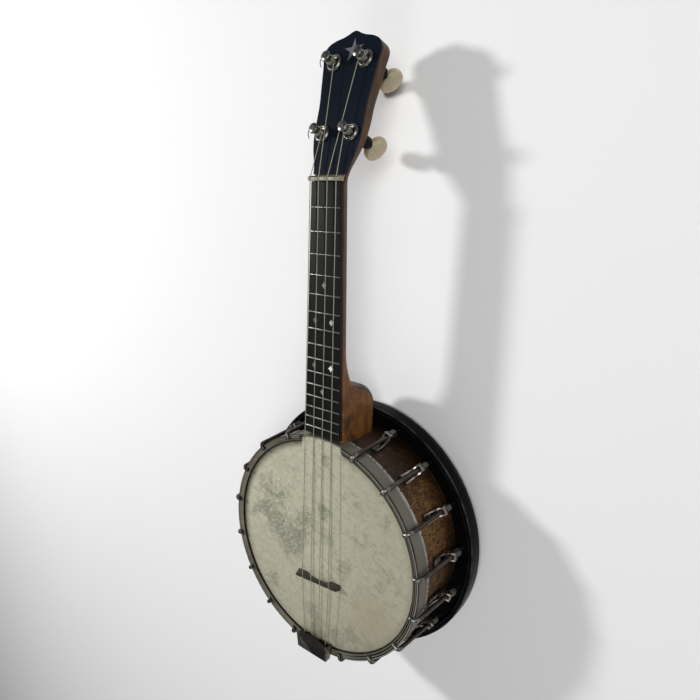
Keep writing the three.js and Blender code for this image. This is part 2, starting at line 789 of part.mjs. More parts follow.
// Peghead outline: its half width at each distance from the nut, both as shares of its length and half width.
const pegheadSideShares = [
  [-0.05, 0.57], [0, 0.58], [0.07, 0.62], [0.18, 0.75], [0.28, 0.82], [0.4, 0.828], [0.5, 0.828],
  [0.62, 0.878], [0.78, 0.952], [0.855, 1], [0.892, 0.96], [0.925, 0.84], [0.949, 0.62],
  [0.961, 0.4], [0.977, 0.22], [0.993, 0.1],
];

function pegheadOutline() {
  const right = pegheadSideShares.map(([along, across]) => [
    across * pegheadHalfWidth,
    along * pegheadLength,
  ]);
  const left = [...right].reverse().map(([x, y]) => [-x, y]);
  return outline([...right, [0, pegheadLength], ...left]);
}

const upperPegs = {
  offset: upperPegOffsetShare * pegheadHalfWidth,
  distance: upperPegDistanceShare * pegheadLength,
};
const lowerPegs = {
  offset: lowerPegOffsetShare * pegheadHalfWidth,
  distance: lowerPegDistanceShare * pegheadLength,
};
const pegs = [
  { name: 'upper_left', side: -1, string: 1, turnDegrees: 15, ...upperPegs },
  { name: 'upper_right', side: 1, string: 2, turnDegrees: 40, ...upperPegs },
  { name: 'lower_left', side: -1, string: 0, turnDegrees: -30, ...lowerPegs },
  { name: 'lower_right', side: 1, string: 3, turnDegrees: 48, ...lowerPegs },
];

const pegheadFrame = new THREE.Matrix4()
  .makeRotationX(-pegheadTilt)
  .setPosition(0, nutBackY, boardBottom);

function drillPegs(solid, radius) {
  return pegs.reduce((cut, { side, offset, distance }) => {
    const drill = rod(radius, -pegheadThickness - cutOverrun, cutOverrun, 16);
    return cut.subtract(drill.translate([side * offset, distance, 0]));
  }, solid);
}

const pegHoleInWood = bushingSleeveRadius + seam;

// The throat: how far along the peghead, its half width, its depth and how square its back is.
const throatShares = [
  [-0.08, 0.58, 0.8, 0.2], [0.02, 0.63, 0.82, 0.22], [0.11, 0.77, 0.9, 0.3],
  [0.22, 1, 1, 0.5], [0.37, 1.2, 1.2, 1], [1.05, 1.2, 1.2, 1],
];

// Wood of the peghead: the outline, thinner towards the nut, with its edges rounded away at the throat.
function makePegheadWood() {
  const board = plate(pegheadOutline(), -pegheadThickness, -overlayThickness - seam);
  const end = pegheadLength + cutOverrun;
  const back = sideProfile([
    [-end, cutOverrun],
    [end, cutOverrun],
    [end, -pegheadThickness],
    [pegheadThinLength, -pegheadThickness],
    [0, -pegheadThicknessAtNut],
    [-end, -pegheadThicknessAtNut],
  ], 4 * pegheadHalfWidth);
  const throat = loft(throatShares.map(([along, across, deep, square]) => woodSection(
    along * pegheadLength,
    0,
    across * pegheadHalfWidth,
    deep * pegheadThickness,
    square * heelFullness,
  )));
  return drillPegs(board.intersect(back).intersect(throat), pegHoleInWood);
}

// Neck: shaft, heel and peghead in one piece of wood, cut to the rim and to the hoop's band.
function makeNeck() {
  const tilted = makePegheadWood().transform(pegheadFrame.toArray());
  const nutSeat = block(
    pegheadHalfWidth * 2,
    nutThickness * 4,
    nutThickness * 4,
    0,
    nutBackY - nutThickness * 2,
    neckTop + nutThickness * 2,
  );
  const wood = loft(neckSections()).add(tilted).subtract(nutSeat);
  const rimClearance = turned([
    [0, -cutOverrun],
    [rimOuterRadius + seam, -cutOverrun],
    [rimOuterRadius + seam, fleshHoopBottom - seam],
    [bandOuterRadius + seam, fleshHoopBottom - seam],
    [bandOuterRadius + seam, boardTop + cutOverrun],
    [0, boardTop + cutOverrun],
  ]);
  const socketWidth = dowelWidthNeck + 2 * seam;
  const socketLength = 2 * (heelSocketDepth + seam);
  const socket = block(socketWidth, socketLength, socketWidth, 0, rimOuterRadius, dowelZ);
  return wood.subtract(rimClearance).subtract(socket);
}

function makeOverlay() {
  const veneer = drillPegs(plate(pegheadOutline(), -overlayThickness, 0), pegHoleInWood);
  const behindNut = block(
    pegheadHalfWidth * 2,
    pegheadLength,
    pegheadThickness,
    0,
    seam + overlayThickness - pegheadLength / 2,
    0,
  );
  return veneer.subtract(behindNut);
}

// Bushing: a flanged sleeve let into the peghead, in which the peg turns.
function makeBushing(depth) {
  const bore = pegRadius + seam;
  return turned([
    [bore, -depth],
    [bushingSleeveRadius, -depth],
    [bushingSleeveRadius, seam],
    [bushingRadius, seam],
    [bushingRadius, bushingHeight / 2],
    [bushingRadius - bushingHeight / 3, bushingHeight],
    [bore, bushingHeight],
  ], pegSides);
}

// Peg post: cap, waist with a string hole, shank through the bushing, collar behind the peghead and stem.
function makePegPost(depth, buttonDrop) {
  const collarTop = -depth - seam;
  const buttonTop = -buttonDrop + buttonHeight / 2;
  const collarBottom = buttonTop + pegCollarGap;
  const stemEnd = buttonTop - buttonBore;
  const post = turned([
    [0, stemEnd],
    [pegStemRadius, stemEnd],
    [pegStemRadius, collarBottom],
    [pegCollarRadius - pegCollarRounding, collarBottom],
    [pegCollarRadius, collarBottom + pegCollarRounding],
    [pegCollarRadius, collarTop],
    [pegRadius, collarTop],
    [pegRadius, pegWaistBottom - pegWaistDepth],
    [pegWaistRadius, pegWaistBottom],
    [pegWaistRadius, pegWaistTop],
    [pegCapRadius, pegWaistTop + pegCapTaper],
    [pegCapRadius, pegHeight - pegCapHeight / 3],
    [(pegCapRadius + pegWaistRadius) / 2, pegHeight],
    [0, pegHeight],
  ], pegSides);
  const hole = rod(pegHoleRadius, -pegCapRadius - cutOverrun, pegCapRadius + cutOverrun, 6, true);
  return post.subtract(hole.translate([0, 0, pegWaistTop - pegHoleRadius]));
}

// Peg button: a rounded oval with a bore for the stem.
function makePegButton() {
  const oval = new THREE.Shape();
  oval.absellipse(0, 0, buttonWidth / 2 - buttonRounding, buttonHeight / 2 - buttonRounding, 0, 2 * Math.PI);
  const geometry = new THREE.ExtrudeGeometry(oval, {
    depth: buttonThickness - 2 * buttonRounding,
    bevelThickness: buttonRounding,
    bevelSize: buttonRounding,
    bevelSegments: 2,
    curveSegments: 10,
  });
  const flat = geometry.translate(0, 0, buttonRounding - buttonThickness / 2).rotateX(Math.PI / 2);
  const top = buttonHeight / 2;
  const bore = rod(pegStemRadius + seam, top - buttonBore - seam, top + cutOverrun, pegSides);
  return solidOf(flat).subtract(bore);
}

// Tailpiece: a stamped hood over the hoop, open in front, with a comb that holds the strings and a strap that
// steps in under the flesh hoop to a bolt through the rim.
const tailCornerInsetShare = 0.8;
function makeTailpiece() {
  const hoodBottom = tailPlateHeight - tailHoodDepth;
  const hoodShape = (inset, front) => {
    const shape = new THREE.Shape();
    const corner = tailCornerReach + inset * tailCornerInsetShare;
    const arc = 2 * (tailFrontReach + inset) - corner;
    shape.moveTo(-tailHalfWidthBack + inset, -tailBackReach + inset);
    shape.lineTo(tailHalfWidthBack - inset, -tailBackReach + inset);
    shape.lineTo(tailHalfWidthFront - inset, -corner + front);
    shape.quadraticCurveTo(0, -arc + front, -tailHalfWidthFront + inset, -corner + front);
    return shape;
  };
  const hood = plate(hoodShape(0, 0), hoodBottom, tailPlateHeight);
  const openFront = tailHoodDepth * 2;
  const plateBottom = tailPlateHeight - tailPlateThickness;
  const inside = plate(hoodShape(tailPlateThickness, openFront), hoodBottom - cutOverrun, plateBottom);
  const panelFloor = tailPlateHeight - tailPanelDepth;
  const panel = plate(hoodShape(tailBorder, 0), panelFloor, tailPlateHeight + cutOverrun);
  const combWidth = 2 * (tailHalfWidthBack - tailPlateThickness / 2);
  const combMiddle = -combFront - tailCombThickness / 2;
  const combZ = plateBottom - tailCombHeight / 2 + seam;
  let comb = block(combWidth, tailCombThickness, tailCombHeight, 0, combMiddle, combZ);
  const tailStringZ = stringZBridge - tailStringDrop;
  for (const index of stringIndices) {
    const slotHeight = 2 * (tailCombHeight - (plateBottom - tailStringZ) + stringSlotHalfWidth);
    const slotBottom = plateBottom - tailCombHeight + seam;
    const x = stringX(index, stringSpacingTail);
    const slotLength = 2 * tailCombThickness;
    comb = comb.subtract(block(2 * stringSlotHalfWidth, slotLength, slotHeight, x, combMiddle, slotBottom));
  }
  const rimSide = rimOuterRadius + seam;
  const jogTop = fleshHoopBottom - cutOverrun;
  const strapFoot = dowelZ - tailStrapWidth / 2;
  const strap = sideProfile([
    [-strapInner, plateBottom],
    [-tailBackReach, plateBottom],
    [-tailBackReach, jogTop],
    [-rimSide - tailPlateThickness, jogTop - tailStrapJog],
    [-rimSide - tailPlateThickness, strapFoot],
    [-rimSide, strapFoot],
    [-rimSide, jogTop - tailStrapJog - seam],
    [-strapInner, jogTop - seam],
  ], tailStrapWidth);
  const boltFace = -rimSide - tailPlateThickness;
  const head = rod(tailBoltHeadRadius, boltFace - tailBoltHeadHeight, boltFace + seam, 6, true);
  const shank = rod(tailBoltRadius, boltFace, -rimInnerRadius + tailBoltDepth, 10, true);
  const bolt = head.add(shank).translate([0, 0, dowelZ]);
  return hood.subtract(inside).subtract(panel).add(comb).add(strap).add(bolt);
}

// Dowel stick: from a socket in the heel, across the pot to the tail, with the brace behind the heel and the
// post and pin that hold the resonator.
function makeDowel() {
  const section = (y, width) => [[-1, -1], [1, -1], [1, 1], [-1, 1]].map(
    ([x, z]) => new THREE.Vector3(x * width / 2, y, dowelZ + z * width / 2),
  );
  const neckEnd = rimOuterRadius + heelSocketDepth;
  const tailCorner = Math.sqrt(rimInnerRadius ** 2 - (dowelWidthTail / 2) ** 2);
  const tailEnd = -tailCorner + seam;
  const stick = loft([
    section(tailEnd, dowelWidthTail),
    section(rimInnerRadius - braceThickness, dowelWidthNeck),
    section(neckEnd, dowelWidthNeck),
  ]);
  const braceWidth = dowelWidthNeck + 2 * braceMargin;
  const braceBack = Math.sqrt(rimInnerRadius ** 2 - (braceWidth / 2) ** 2) - seam;
  const brace = block(braceWidth, braceThickness, braceWidth, 0, braceBack - braceThickness / 2, dowelZ);
  const post = rod(resonatorPostRadius, resonatorFloor + seam, dowelZ, 16);
  const pinBottom = resonatorFloor - resonatorPinDepth + seam;
  const pin = rod(resonatorPinRadius, pinBottom, resonatorFloor + 2 * seam, 12);
  const boltEnd = -rimInnerRadius + tailBoltDepth + seam;
  const boltHole = rod(tailBoltRadius + seam, tailEnd - cutOverrun, boltEnd, 12, true);
  return stick.add(brace).add(post).add(pin).subtract(boltHole.translate([0, 0, dowelZ]));
}

// String: from the comb over the bridge and nut, then round its peg in rising turns.
function stringRoute({ side, offset, distance, string }) {
  const xTail = stringX(string, stringSpacingTail);
  const xBridge = stringX(string, stringSpacingBridge);
  const xNut = stringX(string, stringSpacingNut);
  const bridgeContact = bridgeY + xBridge * Math.tan(bridgeSkew);
  const tailY = -combFront - tailCombThickness - tailStringEnd;
  const inPeghead = new THREE.Matrix4().copy(pegheadFrame).invert();
  const nutEdge = new THREE.Vector3(xNut, nutBackY - nutThickness / 3, stringZNut);
  const fromNut = nutEdge.clone().applyMatrix4(inPeghead);
  const centre = new THREE.Vector2(side * offset, distance);
  const windingRadius = pegWaistRadius + stringRadius + seam;
  const away = new THREE.Vector2(fromNut.x, fromNut.y).sub(centre);
  const towardsNut = Math.atan2(away.y, away.x);
  const firstAngle = towardsNut - side * Math.acos(windingRadius / away.length());
  const steps = stringTurns * stringTurnSteps;
  const winding = [];
  for (let i = 0; i <= steps; i += 1) {
    const turn = i / stringTurnSteps;
    const angle = firstAngle - side * turn * 2 * Math.PI;
    winding.push(new THREE.Vector3(
      centre.x + windingRadius * Math.cos(angle),
      centre.y + windingRadius * Math.sin(angle),
      windingStart + windingPitch * turn,
    ).applyMatrix4(pegheadFrame));
  }
  return [
    new THREE.Vector3(xTail, tailY, stringZBridge - tailStringDrop),
    new THREE.Vector3(xBridge, bridgeContact, stringZBridge),
    new THREE.Vector3(xNut, nutFrontY, stringZNut),
    nutEdge,
    ...winding,
  ];
}

// Least gap of a winding to itself, measured on its points, leaving out neighbours within half a turn.
function leastSelfGap(points) {
  const start = points.length - 1 - stringTurns * stringTurnSteps;
  const approach = [];
  for (let i = 1; i <= stringTurnSteps; i += 1) {
    const back = i * windingPitch / 2;
    const direction = new THREE.Vector3().subVectors(points[start - 1], points[start]).normalize();
    approach.unshift(points[start].clone().addScaledVector(direction, back / 2));
  }
  const sampled = [...approach, ...points.slice(start)];
  let least = Infinity;
  for (let i = 0; i < sampled.length; i += 1) {
    for (let j = i + stringTurnSteps / 2; j < sampled.length; j += 1) {
      least = Math.min(least, sampled[i].distanceTo(sampled[j]));
    }
  }
  return least - 2 * stringRadius;
}

const group = new THREE.Group();
group.add(piece('resonator', makeResonator(), blackLacquer()));
group.add(piece('rim', makeRim(), walnut()));
group.add(piece('dowel_stick', makeDowel(), mahogany()));
group.add(piece('drumhead', makeDrumhead(), calfskin()));
group.add(piece('flesh_hoop', makeFleshHoop(), fleshHoopMetal()));
group.add(piece('tension_hoop', makeTensionHoop(), agedNickel()));
group.add(piece('neck', makeNeck(), mahogany()));
group.add(piece('fingerboard', makeFingerboard(), ebonized()));
group.add(piece('nut', makeNut(), bone()));
group.add(piece('bridge', makeBridge(), maple()));
group.add(piece('tailpiece', makeTailpiece(), brightNickel()));

const hook = makeHook();
const shoe = makeShoe();
for (const { name, degrees } of hookAngles) {
  const place = new THREE.Group();
  place.rotation.z = THREE.MathUtils.degToRad(degrees);
  place.add(piece(`hook_${name}`, hook, brightNickel()));
  place.add(piece(`shoe_${name}`, shoe, brightNickel()));
  group.add(place);
}

const peghead = new THREE.Group();
peghead.applyMatrix4(pegheadFrame);
peghead.add(piece('peghead_overlay', makeOverlay(), pegheadVeneer()));
for (const peg of pegs) {
  const depth = pegheadDepthAt(peg.distance);
  const buttonDrop = depth + buttonReach;
  const place = new THREE.Group();
  place.position.set(peg.side * peg.offset, peg.distance, 0);
  place.add(piece(`peg_bushing_${peg.name}`, makeBushing(depth), brightNickel()));
  place.add(piece(`peg_post_${peg.name}`, makePegPost(depth, buttonDrop), brightNickel()));
  const button = piece(`peg_button_${peg.name}`, makePegButton(), pearloid());
  button.position.z = -buttonDrop;
  button.rotation.z = THREE.MathUtils.degToRad(peg.turnDegrees);
  place.add(button);
  peghead.add(place);
}
group.add(peghead);

for (const peg of pegs) {
  const route = stringRoute(peg);
  console.log(`string_${peg.string + 1} least gap to itself ${leastSelfGap(route).toFixed(2)} mm`);
  group.add(piece(`string_${peg.string + 1}`, tube(route, stringRadius, stringSides), nylon()));
}

export default group;
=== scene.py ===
import json
import math

import bmesh
import bpy
from mathutils import Matrix, Vector


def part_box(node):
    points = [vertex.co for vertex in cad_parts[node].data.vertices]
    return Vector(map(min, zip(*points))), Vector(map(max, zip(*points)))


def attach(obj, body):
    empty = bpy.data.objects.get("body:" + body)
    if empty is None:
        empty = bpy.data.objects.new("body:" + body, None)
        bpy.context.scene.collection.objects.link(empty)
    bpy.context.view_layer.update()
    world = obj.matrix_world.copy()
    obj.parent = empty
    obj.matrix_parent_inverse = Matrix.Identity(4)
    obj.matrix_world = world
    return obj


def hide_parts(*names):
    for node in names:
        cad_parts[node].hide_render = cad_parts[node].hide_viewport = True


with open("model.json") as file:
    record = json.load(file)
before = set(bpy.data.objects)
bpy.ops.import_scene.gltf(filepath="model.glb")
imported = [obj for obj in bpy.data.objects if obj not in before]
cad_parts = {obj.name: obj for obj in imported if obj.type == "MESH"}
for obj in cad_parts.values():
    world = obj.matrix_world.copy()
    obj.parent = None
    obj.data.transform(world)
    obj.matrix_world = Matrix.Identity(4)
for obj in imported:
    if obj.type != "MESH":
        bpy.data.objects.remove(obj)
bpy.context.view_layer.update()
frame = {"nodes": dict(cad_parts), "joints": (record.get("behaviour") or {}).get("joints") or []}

bl_info = {
    "name": "Banjo Ukulele",
    "version": (1, 0, 0),
    "blender": (4, 5, 0),
    "location": "3D View > Sidebar > Banjo Ukulele",
    "description": "Builds the finished surfaces of a banjo ukulele round its frame",
    "category": "Add Mesh",
}

MM = 0.001
SEAM = 0.3 * MM
RING_STEPS = 240


# Sizes that follow the frame


RIM_LOW, RIM_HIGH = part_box("rim")
RIM_RADIUS = RIM_HIGH.x
RIM_BOTTOM, RIM_TOP = RIM_LOW.z, RIM_HIGH.z
RESONATOR_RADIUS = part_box("resonator")[1].x
RESONATOR_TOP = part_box("resonator")[1].z
HEAD_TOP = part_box("drumhead")[1].z
HEAD_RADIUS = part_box("drumhead")[1].x
HOOP_LOW, HOOP_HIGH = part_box("tension_hoop")
HOOP_RADIUS = HOOP_HIGH.x
BAND_BOTTOM, BEAD_TOP = HOOP_LOW.z, HOOP_HIGH.z
FLESH_LOW, FLESH_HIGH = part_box("flesh_hoop")
BOARD_LOW, BOARD_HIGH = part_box("fingerboard")
NUT_LOW, NUT_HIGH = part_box("nut")
DOWEL_MIDDLE = (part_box("dowel_stick")[1].z + RIM_BOTTOM) / 2
SHOE_BOTTOM, SHOE_TOP = (corner.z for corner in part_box("shoe_right_1"))
THREAD_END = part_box("hook_right_1")[0].z


# Sizes and colours that a maker may change


def length_property(name, description, value):
    """A length, with its default in millimetres."""
    return bpy.props.FloatProperty(name=name, description=description, default=value * MM, unit="LENGTH")


def angle_property(name, description, degrees):
    return bpy.props.FloatProperty(
        name=name, description=description, default=math.radians(degrees), subtype="ANGLE", unit="ROTATION")


def count_property(name, description, value):
    return bpy.props.IntProperty(name=name, description=description, default=value, min=1)


def colour_property(name, description, *value):
    return bpy.props.FloatVectorProperty(
        name=name, description=description, default=value, size=3, min=0, max=1, subtype="COLOR")


class PotSizes(bpy.types.PropertyGroup):
    """Sizes of the pot, in metres"""

    rim_wall: length_property("Rim wall", "Thickness of the wooden rim", 9.9)
    resonator_wall: length_property("Resonator wall", "Thickness of the resonator's side", 4.4)
    resonator_floor: length_property("Resonator floor", "Thickness of the resonator's back", 6)
    head_thickness: length_property("Head thickness", "Thickness of the skin", 0.5)
    bead_width: length_property("Bead width", "Width of the tension hoop seen from the front", 6.4)
    band_thickness: length_property("Band thickness", "Thickness of the tension hoop's band", 1.6)
    hook_radius: length_property("Hook radius", "Radius of a hook's rod", 1.9)
    hook_pitch: angle_property("Hook pitch", "Angle from one hook to the next", 20.5)
    hooks_a_side: count_property("Hooks on each side", "Hooks between the neck and the tailpiece", 8)


class NeckSizes(bpy.types.PropertyGroup):
    """Sizes of the neck, in metres"""

    scale_length: length_property("Scale length", "Nut to bridge", 343)
    frets: count_property("Frets", "Number of frets", 15)
    depth: length_property("Neck depth", "Depth of the wood at the nut", 12)
    heel_half_width: length_property("Heel half width", "Half the width of the heel's foot", 16.8)
    heel_cap: length_property("Heel cap", "Thickness of the cap on the heel", 3)
    peghead_length: length_property("Peghead length", "From the nut to the tip", 108.8)
    peghead_half_width: length_property("Peghead half width", "Half the peghead's greatest width", 27.3)
    peghead_thickness: length_property("Peghead thickness", "Wood and veneer together", 12)
    peghead_tilt: angle_property("Peghead tilt", "Angle that the peghead leans back", 15)
    string_radius: length_property("String radius", "Radius of a string", 0.34)


class Colours(bpy.types.PropertyGroup):
    """Colours of the finishes"""

    walnut: colour_property("Walnut", "Rim", 0.085, 0.044, 0.018)
    mahogany: colour_property("Mahogany", "Neck", 0.098, 0.050, 0.024)
    lacquer: colour_property("Lacquer", "Resonator", 0.0026, 0.0028, 0.0033)
    veneer: colour_property("Veneer", "Face of the peghead", 0.0035, 0.006, 0.011)
    ebony: colour_property("Ebonised wood", "Fingerboard", 0.0055, 0.0065, 0.0062)
    skin: colour_property("Skin", "Drumhead", 0.47, 0.45, 0.34)
    smudge: colour_property("Smudge", "Darker fibres in the skin", 0.20, 0.205, 0.155)
    nickel: colour_property("Nickel", "Hooks, shoes and pegs", 0.42, 0.41, 0.38)
    tarnish: colour_property("Tarnish", "Darkened nickel", 0.10, 0.092, 0.070)
    bone: colour_property("Bone", "Nut", 0.26, 0.245, 0.17)
    maple: colour_property("Maple", "Bridge and stick", 0.058, 0.048, 0.029)
    pearloid: colour_property("Pearloid", "Peg buttons", 0.46, 0.40, 0.245)
    pearl: colour_property("Pearl", "Inlays", 0.30, 0.32, 0.33)
    nylon: colour_property("Nylon", "Strings", 0.30, 0.30, 0.215)


def tint(name):
    """One of the colours, as a plain tuple."""
    return tuple(getattr(bpy.context.scene.banjo_colours, name))


def shade(colour, factor):
    return tuple(min(part * factor, 1) for part in colour)


def warmed(colour):
    return (min(colour[0] * 1.05, 1), colour[1] * 0.93, colour[2] * 0.9)


def blend(first, second, share):
    return first + (second - first) * share


# Node trees


def term(operation, reflected=False):
    """An operator for Wire that adds a Math node."""
    def operator(self, other):
        pair = (other, self) if reflected else (self, other)
        return self.maker.math(operation, *pair)
    return operator


class Wire:
    """A socket of a node tree. Sums on it add Math nodes."""

    def __init__(self, maker, socket):
        self.maker = maker
        self.socket = socket

    __add__, __radd__ = term("ADD"), term("ADD", True)
    __sub__, __rsub__ = term("SUBTRACT"), term("SUBTRACT", True)
    __mul__, __rmul__ = term("MULTIPLY"), term("MULTIPLY", True)
    __truediv__, __rtruediv__ = term("DIVIDE"), term("DIVIDE", True)
    __pow__, __rpow__ = term("POWER"), term("POWER", True)
    __gt__, __lt__ = term("GREATER_THAN"), term("LESS_THAN")

    def __abs__(self):
        return self.maker.math("ABSOLUTE", self)


class Nodes:
    """A node tree under construction."""

    def __init__(self, tree):
        self.tree = tree

    def node(self, kind, settings=None, inputs=None, output=0):
        """Adds a node: its settings first, then the values or wires of its sockets."""
        node = self.tree.nodes.new(kind)
        for name, value in (settings or {}).items():
            if name == "stops":
                self.set_stops(node.color_ramp, value)
            else:
                setattr(node, name, value)
        for name, value in (inputs or {}).items():
            if isinstance(value, Wire):
                self.tree.links.new(value.socket, node.inputs[name])
            else:
                node.inputs[name].default_value = value
        return Wire(self, node.outputs[output]) if node.outputs else None

    def math(self, operation, *terms):
        return self.node("ShaderNodeMath", {"operation": operation}, dict(enumerate(terms)))

    def vector(self, operation, *terms, output=0):
        return self.node("ShaderNodeVectorMath", {"operation": operation}, dict(enumerate(terms)), output)

    @staticmethod
    def set_stops(ramp, stops):
        while len(ramp.elements) < len(stops):
            ramp.elements.new(1)
        for element, (position, value) in zip(ramp.elements, stops):
            element.position = position
            element.color = (*value, 1) if isinstance(value, tuple) else (value, value, value, 1)


class Finish(Nodes):
    """A procedural material on Object coordinates."""

    def __init__(self, name):
        self.material = bpy.data.materials.new(name)
        self.material.use_nodes = True
        super().__init__(self.material.node_tree)
        self.tree.nodes.clear()
        surface = self.node("ShaderNodeBsdfPrincipled")
        self.shader = surface.socket.node
        self.node("ShaderNodeOutputMaterial", {}, {"Surface": surface})
        self.place = self.node("ShaderNodeTexCoord", output="Object")
        self.x, self.y, self.z = (
            self.node("ShaderNodeSeparateXYZ", {}, {0: self.place}, axis) for axis in "XYZ")

    def radius(self):
        """The distance from the pot's axis."""
        return (self.x * self.x + self.y * self.y) ** 0.5

    def at(self, *scale):
        """Object coordinates, stretched along each axis."""
        return self.node("ShaderNodeMapping", {}, {"Vector": self.place, "Scale": scale})

    def noise(self, scale, detail=4.0, roughness=0.5, point=None, distortion=0.0):
        return self.node("ShaderNodeTexNoise", {}, {
            "Vector": point or self.place, "Scale": scale, "Detail": detail,
            "Roughness": roughness, "Distortion": distortion})

    def ramp(self, value, *stops):
        return self.node("ShaderNodeValToRGB", {"stops": stops}, {0: value})

    def step(self, value, low, high):
        """0 below low, 1 above high, and smooth between them."""
        return self.node("ShaderNodeMapRange", {"interpolation_type": "SMOOTHSTEP"}, {
            "Value": value, "From Min": low, "From Max": high})

    def mix(self, factor, first, second):
        first, second = (c if isinstance(c, Wire) else (*c, 1) for c in (first, second))
        return self.node("ShaderNodeMix", {"data_type": "RGBA"}, {0: factor, 6: first, 7: second}, 2)

    def layered(self, colour, *layers):
        """Lays each (amount, colour) over what is below it."""
        for amount, over in layers:
            colour = self.mix(amount, colour, over)
        return colour

    def pushed(self, point, scale, amount):
        """A point moved about by noise, so that what is drawn with it gets a ragged edge."""
        push = self.node("ShaderNodeTexNoise", {}, {"Vector": point, "Scale": scale, "Detail": 3.0}, "Color")
        centred = self.vector("SUBTRACT", push, (0.5, 0.5, 0.5))
        return self.vector("MULTIPLY_ADD", centred, (amount, amount, amount), point)

    def patches(self, point, places):
        """Soft patches at the given (x, y, size, strength), in millimetres."""
        total = 0
        for x, y, size, strength in places:
            away = self.vector("DISTANCE", point, (x * MM, y * MM, 0), output="Value")
            total = (1 - self.step(away, size * 0.2 * MM, size * MM)) * strength + total
        return total

    def laid(self, turn, length, width, point=None):
        """Coordinates turned about Z, counted in lengths that way and widths across it, in millimetres."""
        return self.node("ShaderNodeMapping", {"vector_type": "TEXTURE"}, {
            "Vector": point or self.place, "Rotation": (0, 0, turn),
            "Scale": (length * MM, width * MM, width * MM)})

    def dashes(self, turn, length, width, low, high, point=None):
        """Short strokes that lie along one way: 1 on a stroke and 0 off it."""
        return self.step(self.noise(1, 2.5, 0.5, self.laid(turn, length, width, point), 0.5), low, high)

    def set(self, **sockets):
        """Sets the shader's sockets, underscores standing for spaces, and gives the material."""
        for name, value in sockets.items():
            socket = self.shader.inputs[name.replace("_", " ").title().replace("Ior", "IOR")]
            if isinstance(value, Wire):
                self.tree.links.new(value.socket, socket)
            else:
                socket.default_value = (*value, 1) if isinstance(value, tuple) else value
        return self.material

    def done(self, colour, roughness, relief, depth, strength, **sockets):
        """Sets the usual sockets, with a relief of that depth in millimetres, and any others."""
        bump = self.node("ShaderNodeBump", {}, {
            "Height": relief, "Distance": depth * MM, "Strength": strength})
        return self.set(base_color=colour, roughness=roughness, normal=bump, **sockets)


# Finishes


def black_lacquer(make):
    """Black lacquer on the resonator, with fine rubbing marks, dust and worn lines along its edges."""
    base, edge = tint("lacquer"), RESONATOR_RADIUS
    radius = make.radius()
    dust = make.step(make.noise(55, 7, 0.7), 0.5, 0.85)
    rubbed = make.noise(1, 3, 0.6, make.at(8, 8, 900))
    worn = make.step(make.noise(60, 5, 0.6), 0.3, 0.66)
    outer_line = make.step(radius, edge - 1.3 * MM, edge - 0.9 * MM) * (make.z > RESONATOR_TOP - 0.9 * MM)
    inner = make.step(radius, edge - 4.6 * MM, edge - 4.2 * MM) * (radius < edge - 3.7 * MM)
    inner_line = inner * (make.z > RESONATOR_TOP - 1.2 * MM)
    low_line = (make.z > 9.0 * MM) * (make.z < 9.9 * MM) * (radius > edge - 0.5 * MM)
    lines = (outer_line + inner_line * 0.45 + low_line * 0.6) * worn
    colour = make.layered(base, (dust * 0.1, shade(base, 3)), (lines, (0.060, 0.058, 0.054)))
    return make.done(colour, 0.2 + dust * 0.16 + rubbed * 0.08, rubbed + dust * 0.4, 0.03, 0.5,
                     specular_ior_level=0.04)


# Where the rim is paler between the hooks, partly its own figure and partly painted light, which leaves the
# wood near the hooks as painted shade: x, y, size and strength
RIM_FIGURE_AND_PAINTED_LIGHT = [
    (78, 65, 30, 0.8), (96, 33, 30, 1.0), (101, -8, 26, 0.5), (-60, 80, 40, 0.7), (-98, 20, 40, 0.8),
    (-70, -72, 40, 0.8), (10, -101, 36, 0.7), (74, -70, 34, 0.6)]


def rim_walnut(make):
    """Burr walnut on the rim: orange-brown patches in dark brown, crowded with short dark streaks; paler
    between the hooks, partly as painted light, and darker towards the bottom as painted shade.
    """
    base = tint("walnut")
    # Paler between the hooks: partly the figure, partly painted light.
    pale = make.patches(make.pushed(make.at(1, 1, 0), 30, 0.02), RIM_FIGURE_AND_PAINTED_LIGHT)
    blot = make.noise(80, 5, 0.66, make.at(1, 1, 1.3), 1.2)
    grain = make.noise(2.6, 6, 0.62, make.at(22, 22, 150), 1.0)
    streak = make.step(make.noise(400, 3, 0.6, make.at(1, 1, 0.3), 1.6), 0.5, 0.58)
    speck = make.step(make.noise(260, 4, 0.6, make.at(1, 1, 0.5), 2.4), 0.53, 0.58)
    red = make.step(make.noise(46, 3, 0.5), 0.54, 0.7)
    # Painted shade: the rim darkens towards its bottom, down in the resonator.
    low = 1 - make.step(make.z, RIM_BOTTOM + 4 * MM, RIM_BOTTOM + 24 * MM)
    colour = make.ramp(
        blot * 0.6 + grain * 0.25 + pale * 0.2, (0.36, shade(base, 0.2)), (0.46, shade(base, 0.5)),
        (0.56, (0.120, 0.058, 0.018)), (0.70, (0.245, 0.122, 0.034)))
    colour = make.layered(
        colour, (streak * 0.66, shade(base, 0.13)), (speck * 0.6, shade(base, 0.1)),
        (red * 0.4, (0.085, 0.022, 0.014)), (low * 0.6, shade(base, 0.1)))
    return make.done(colour, 0.45 + grain * 0.14 + speck * 0.12, grain * 0.4 - streak * 0.4 - speck * 0.4,
                     0.06, 0.6, specular_ior_level=0.25)


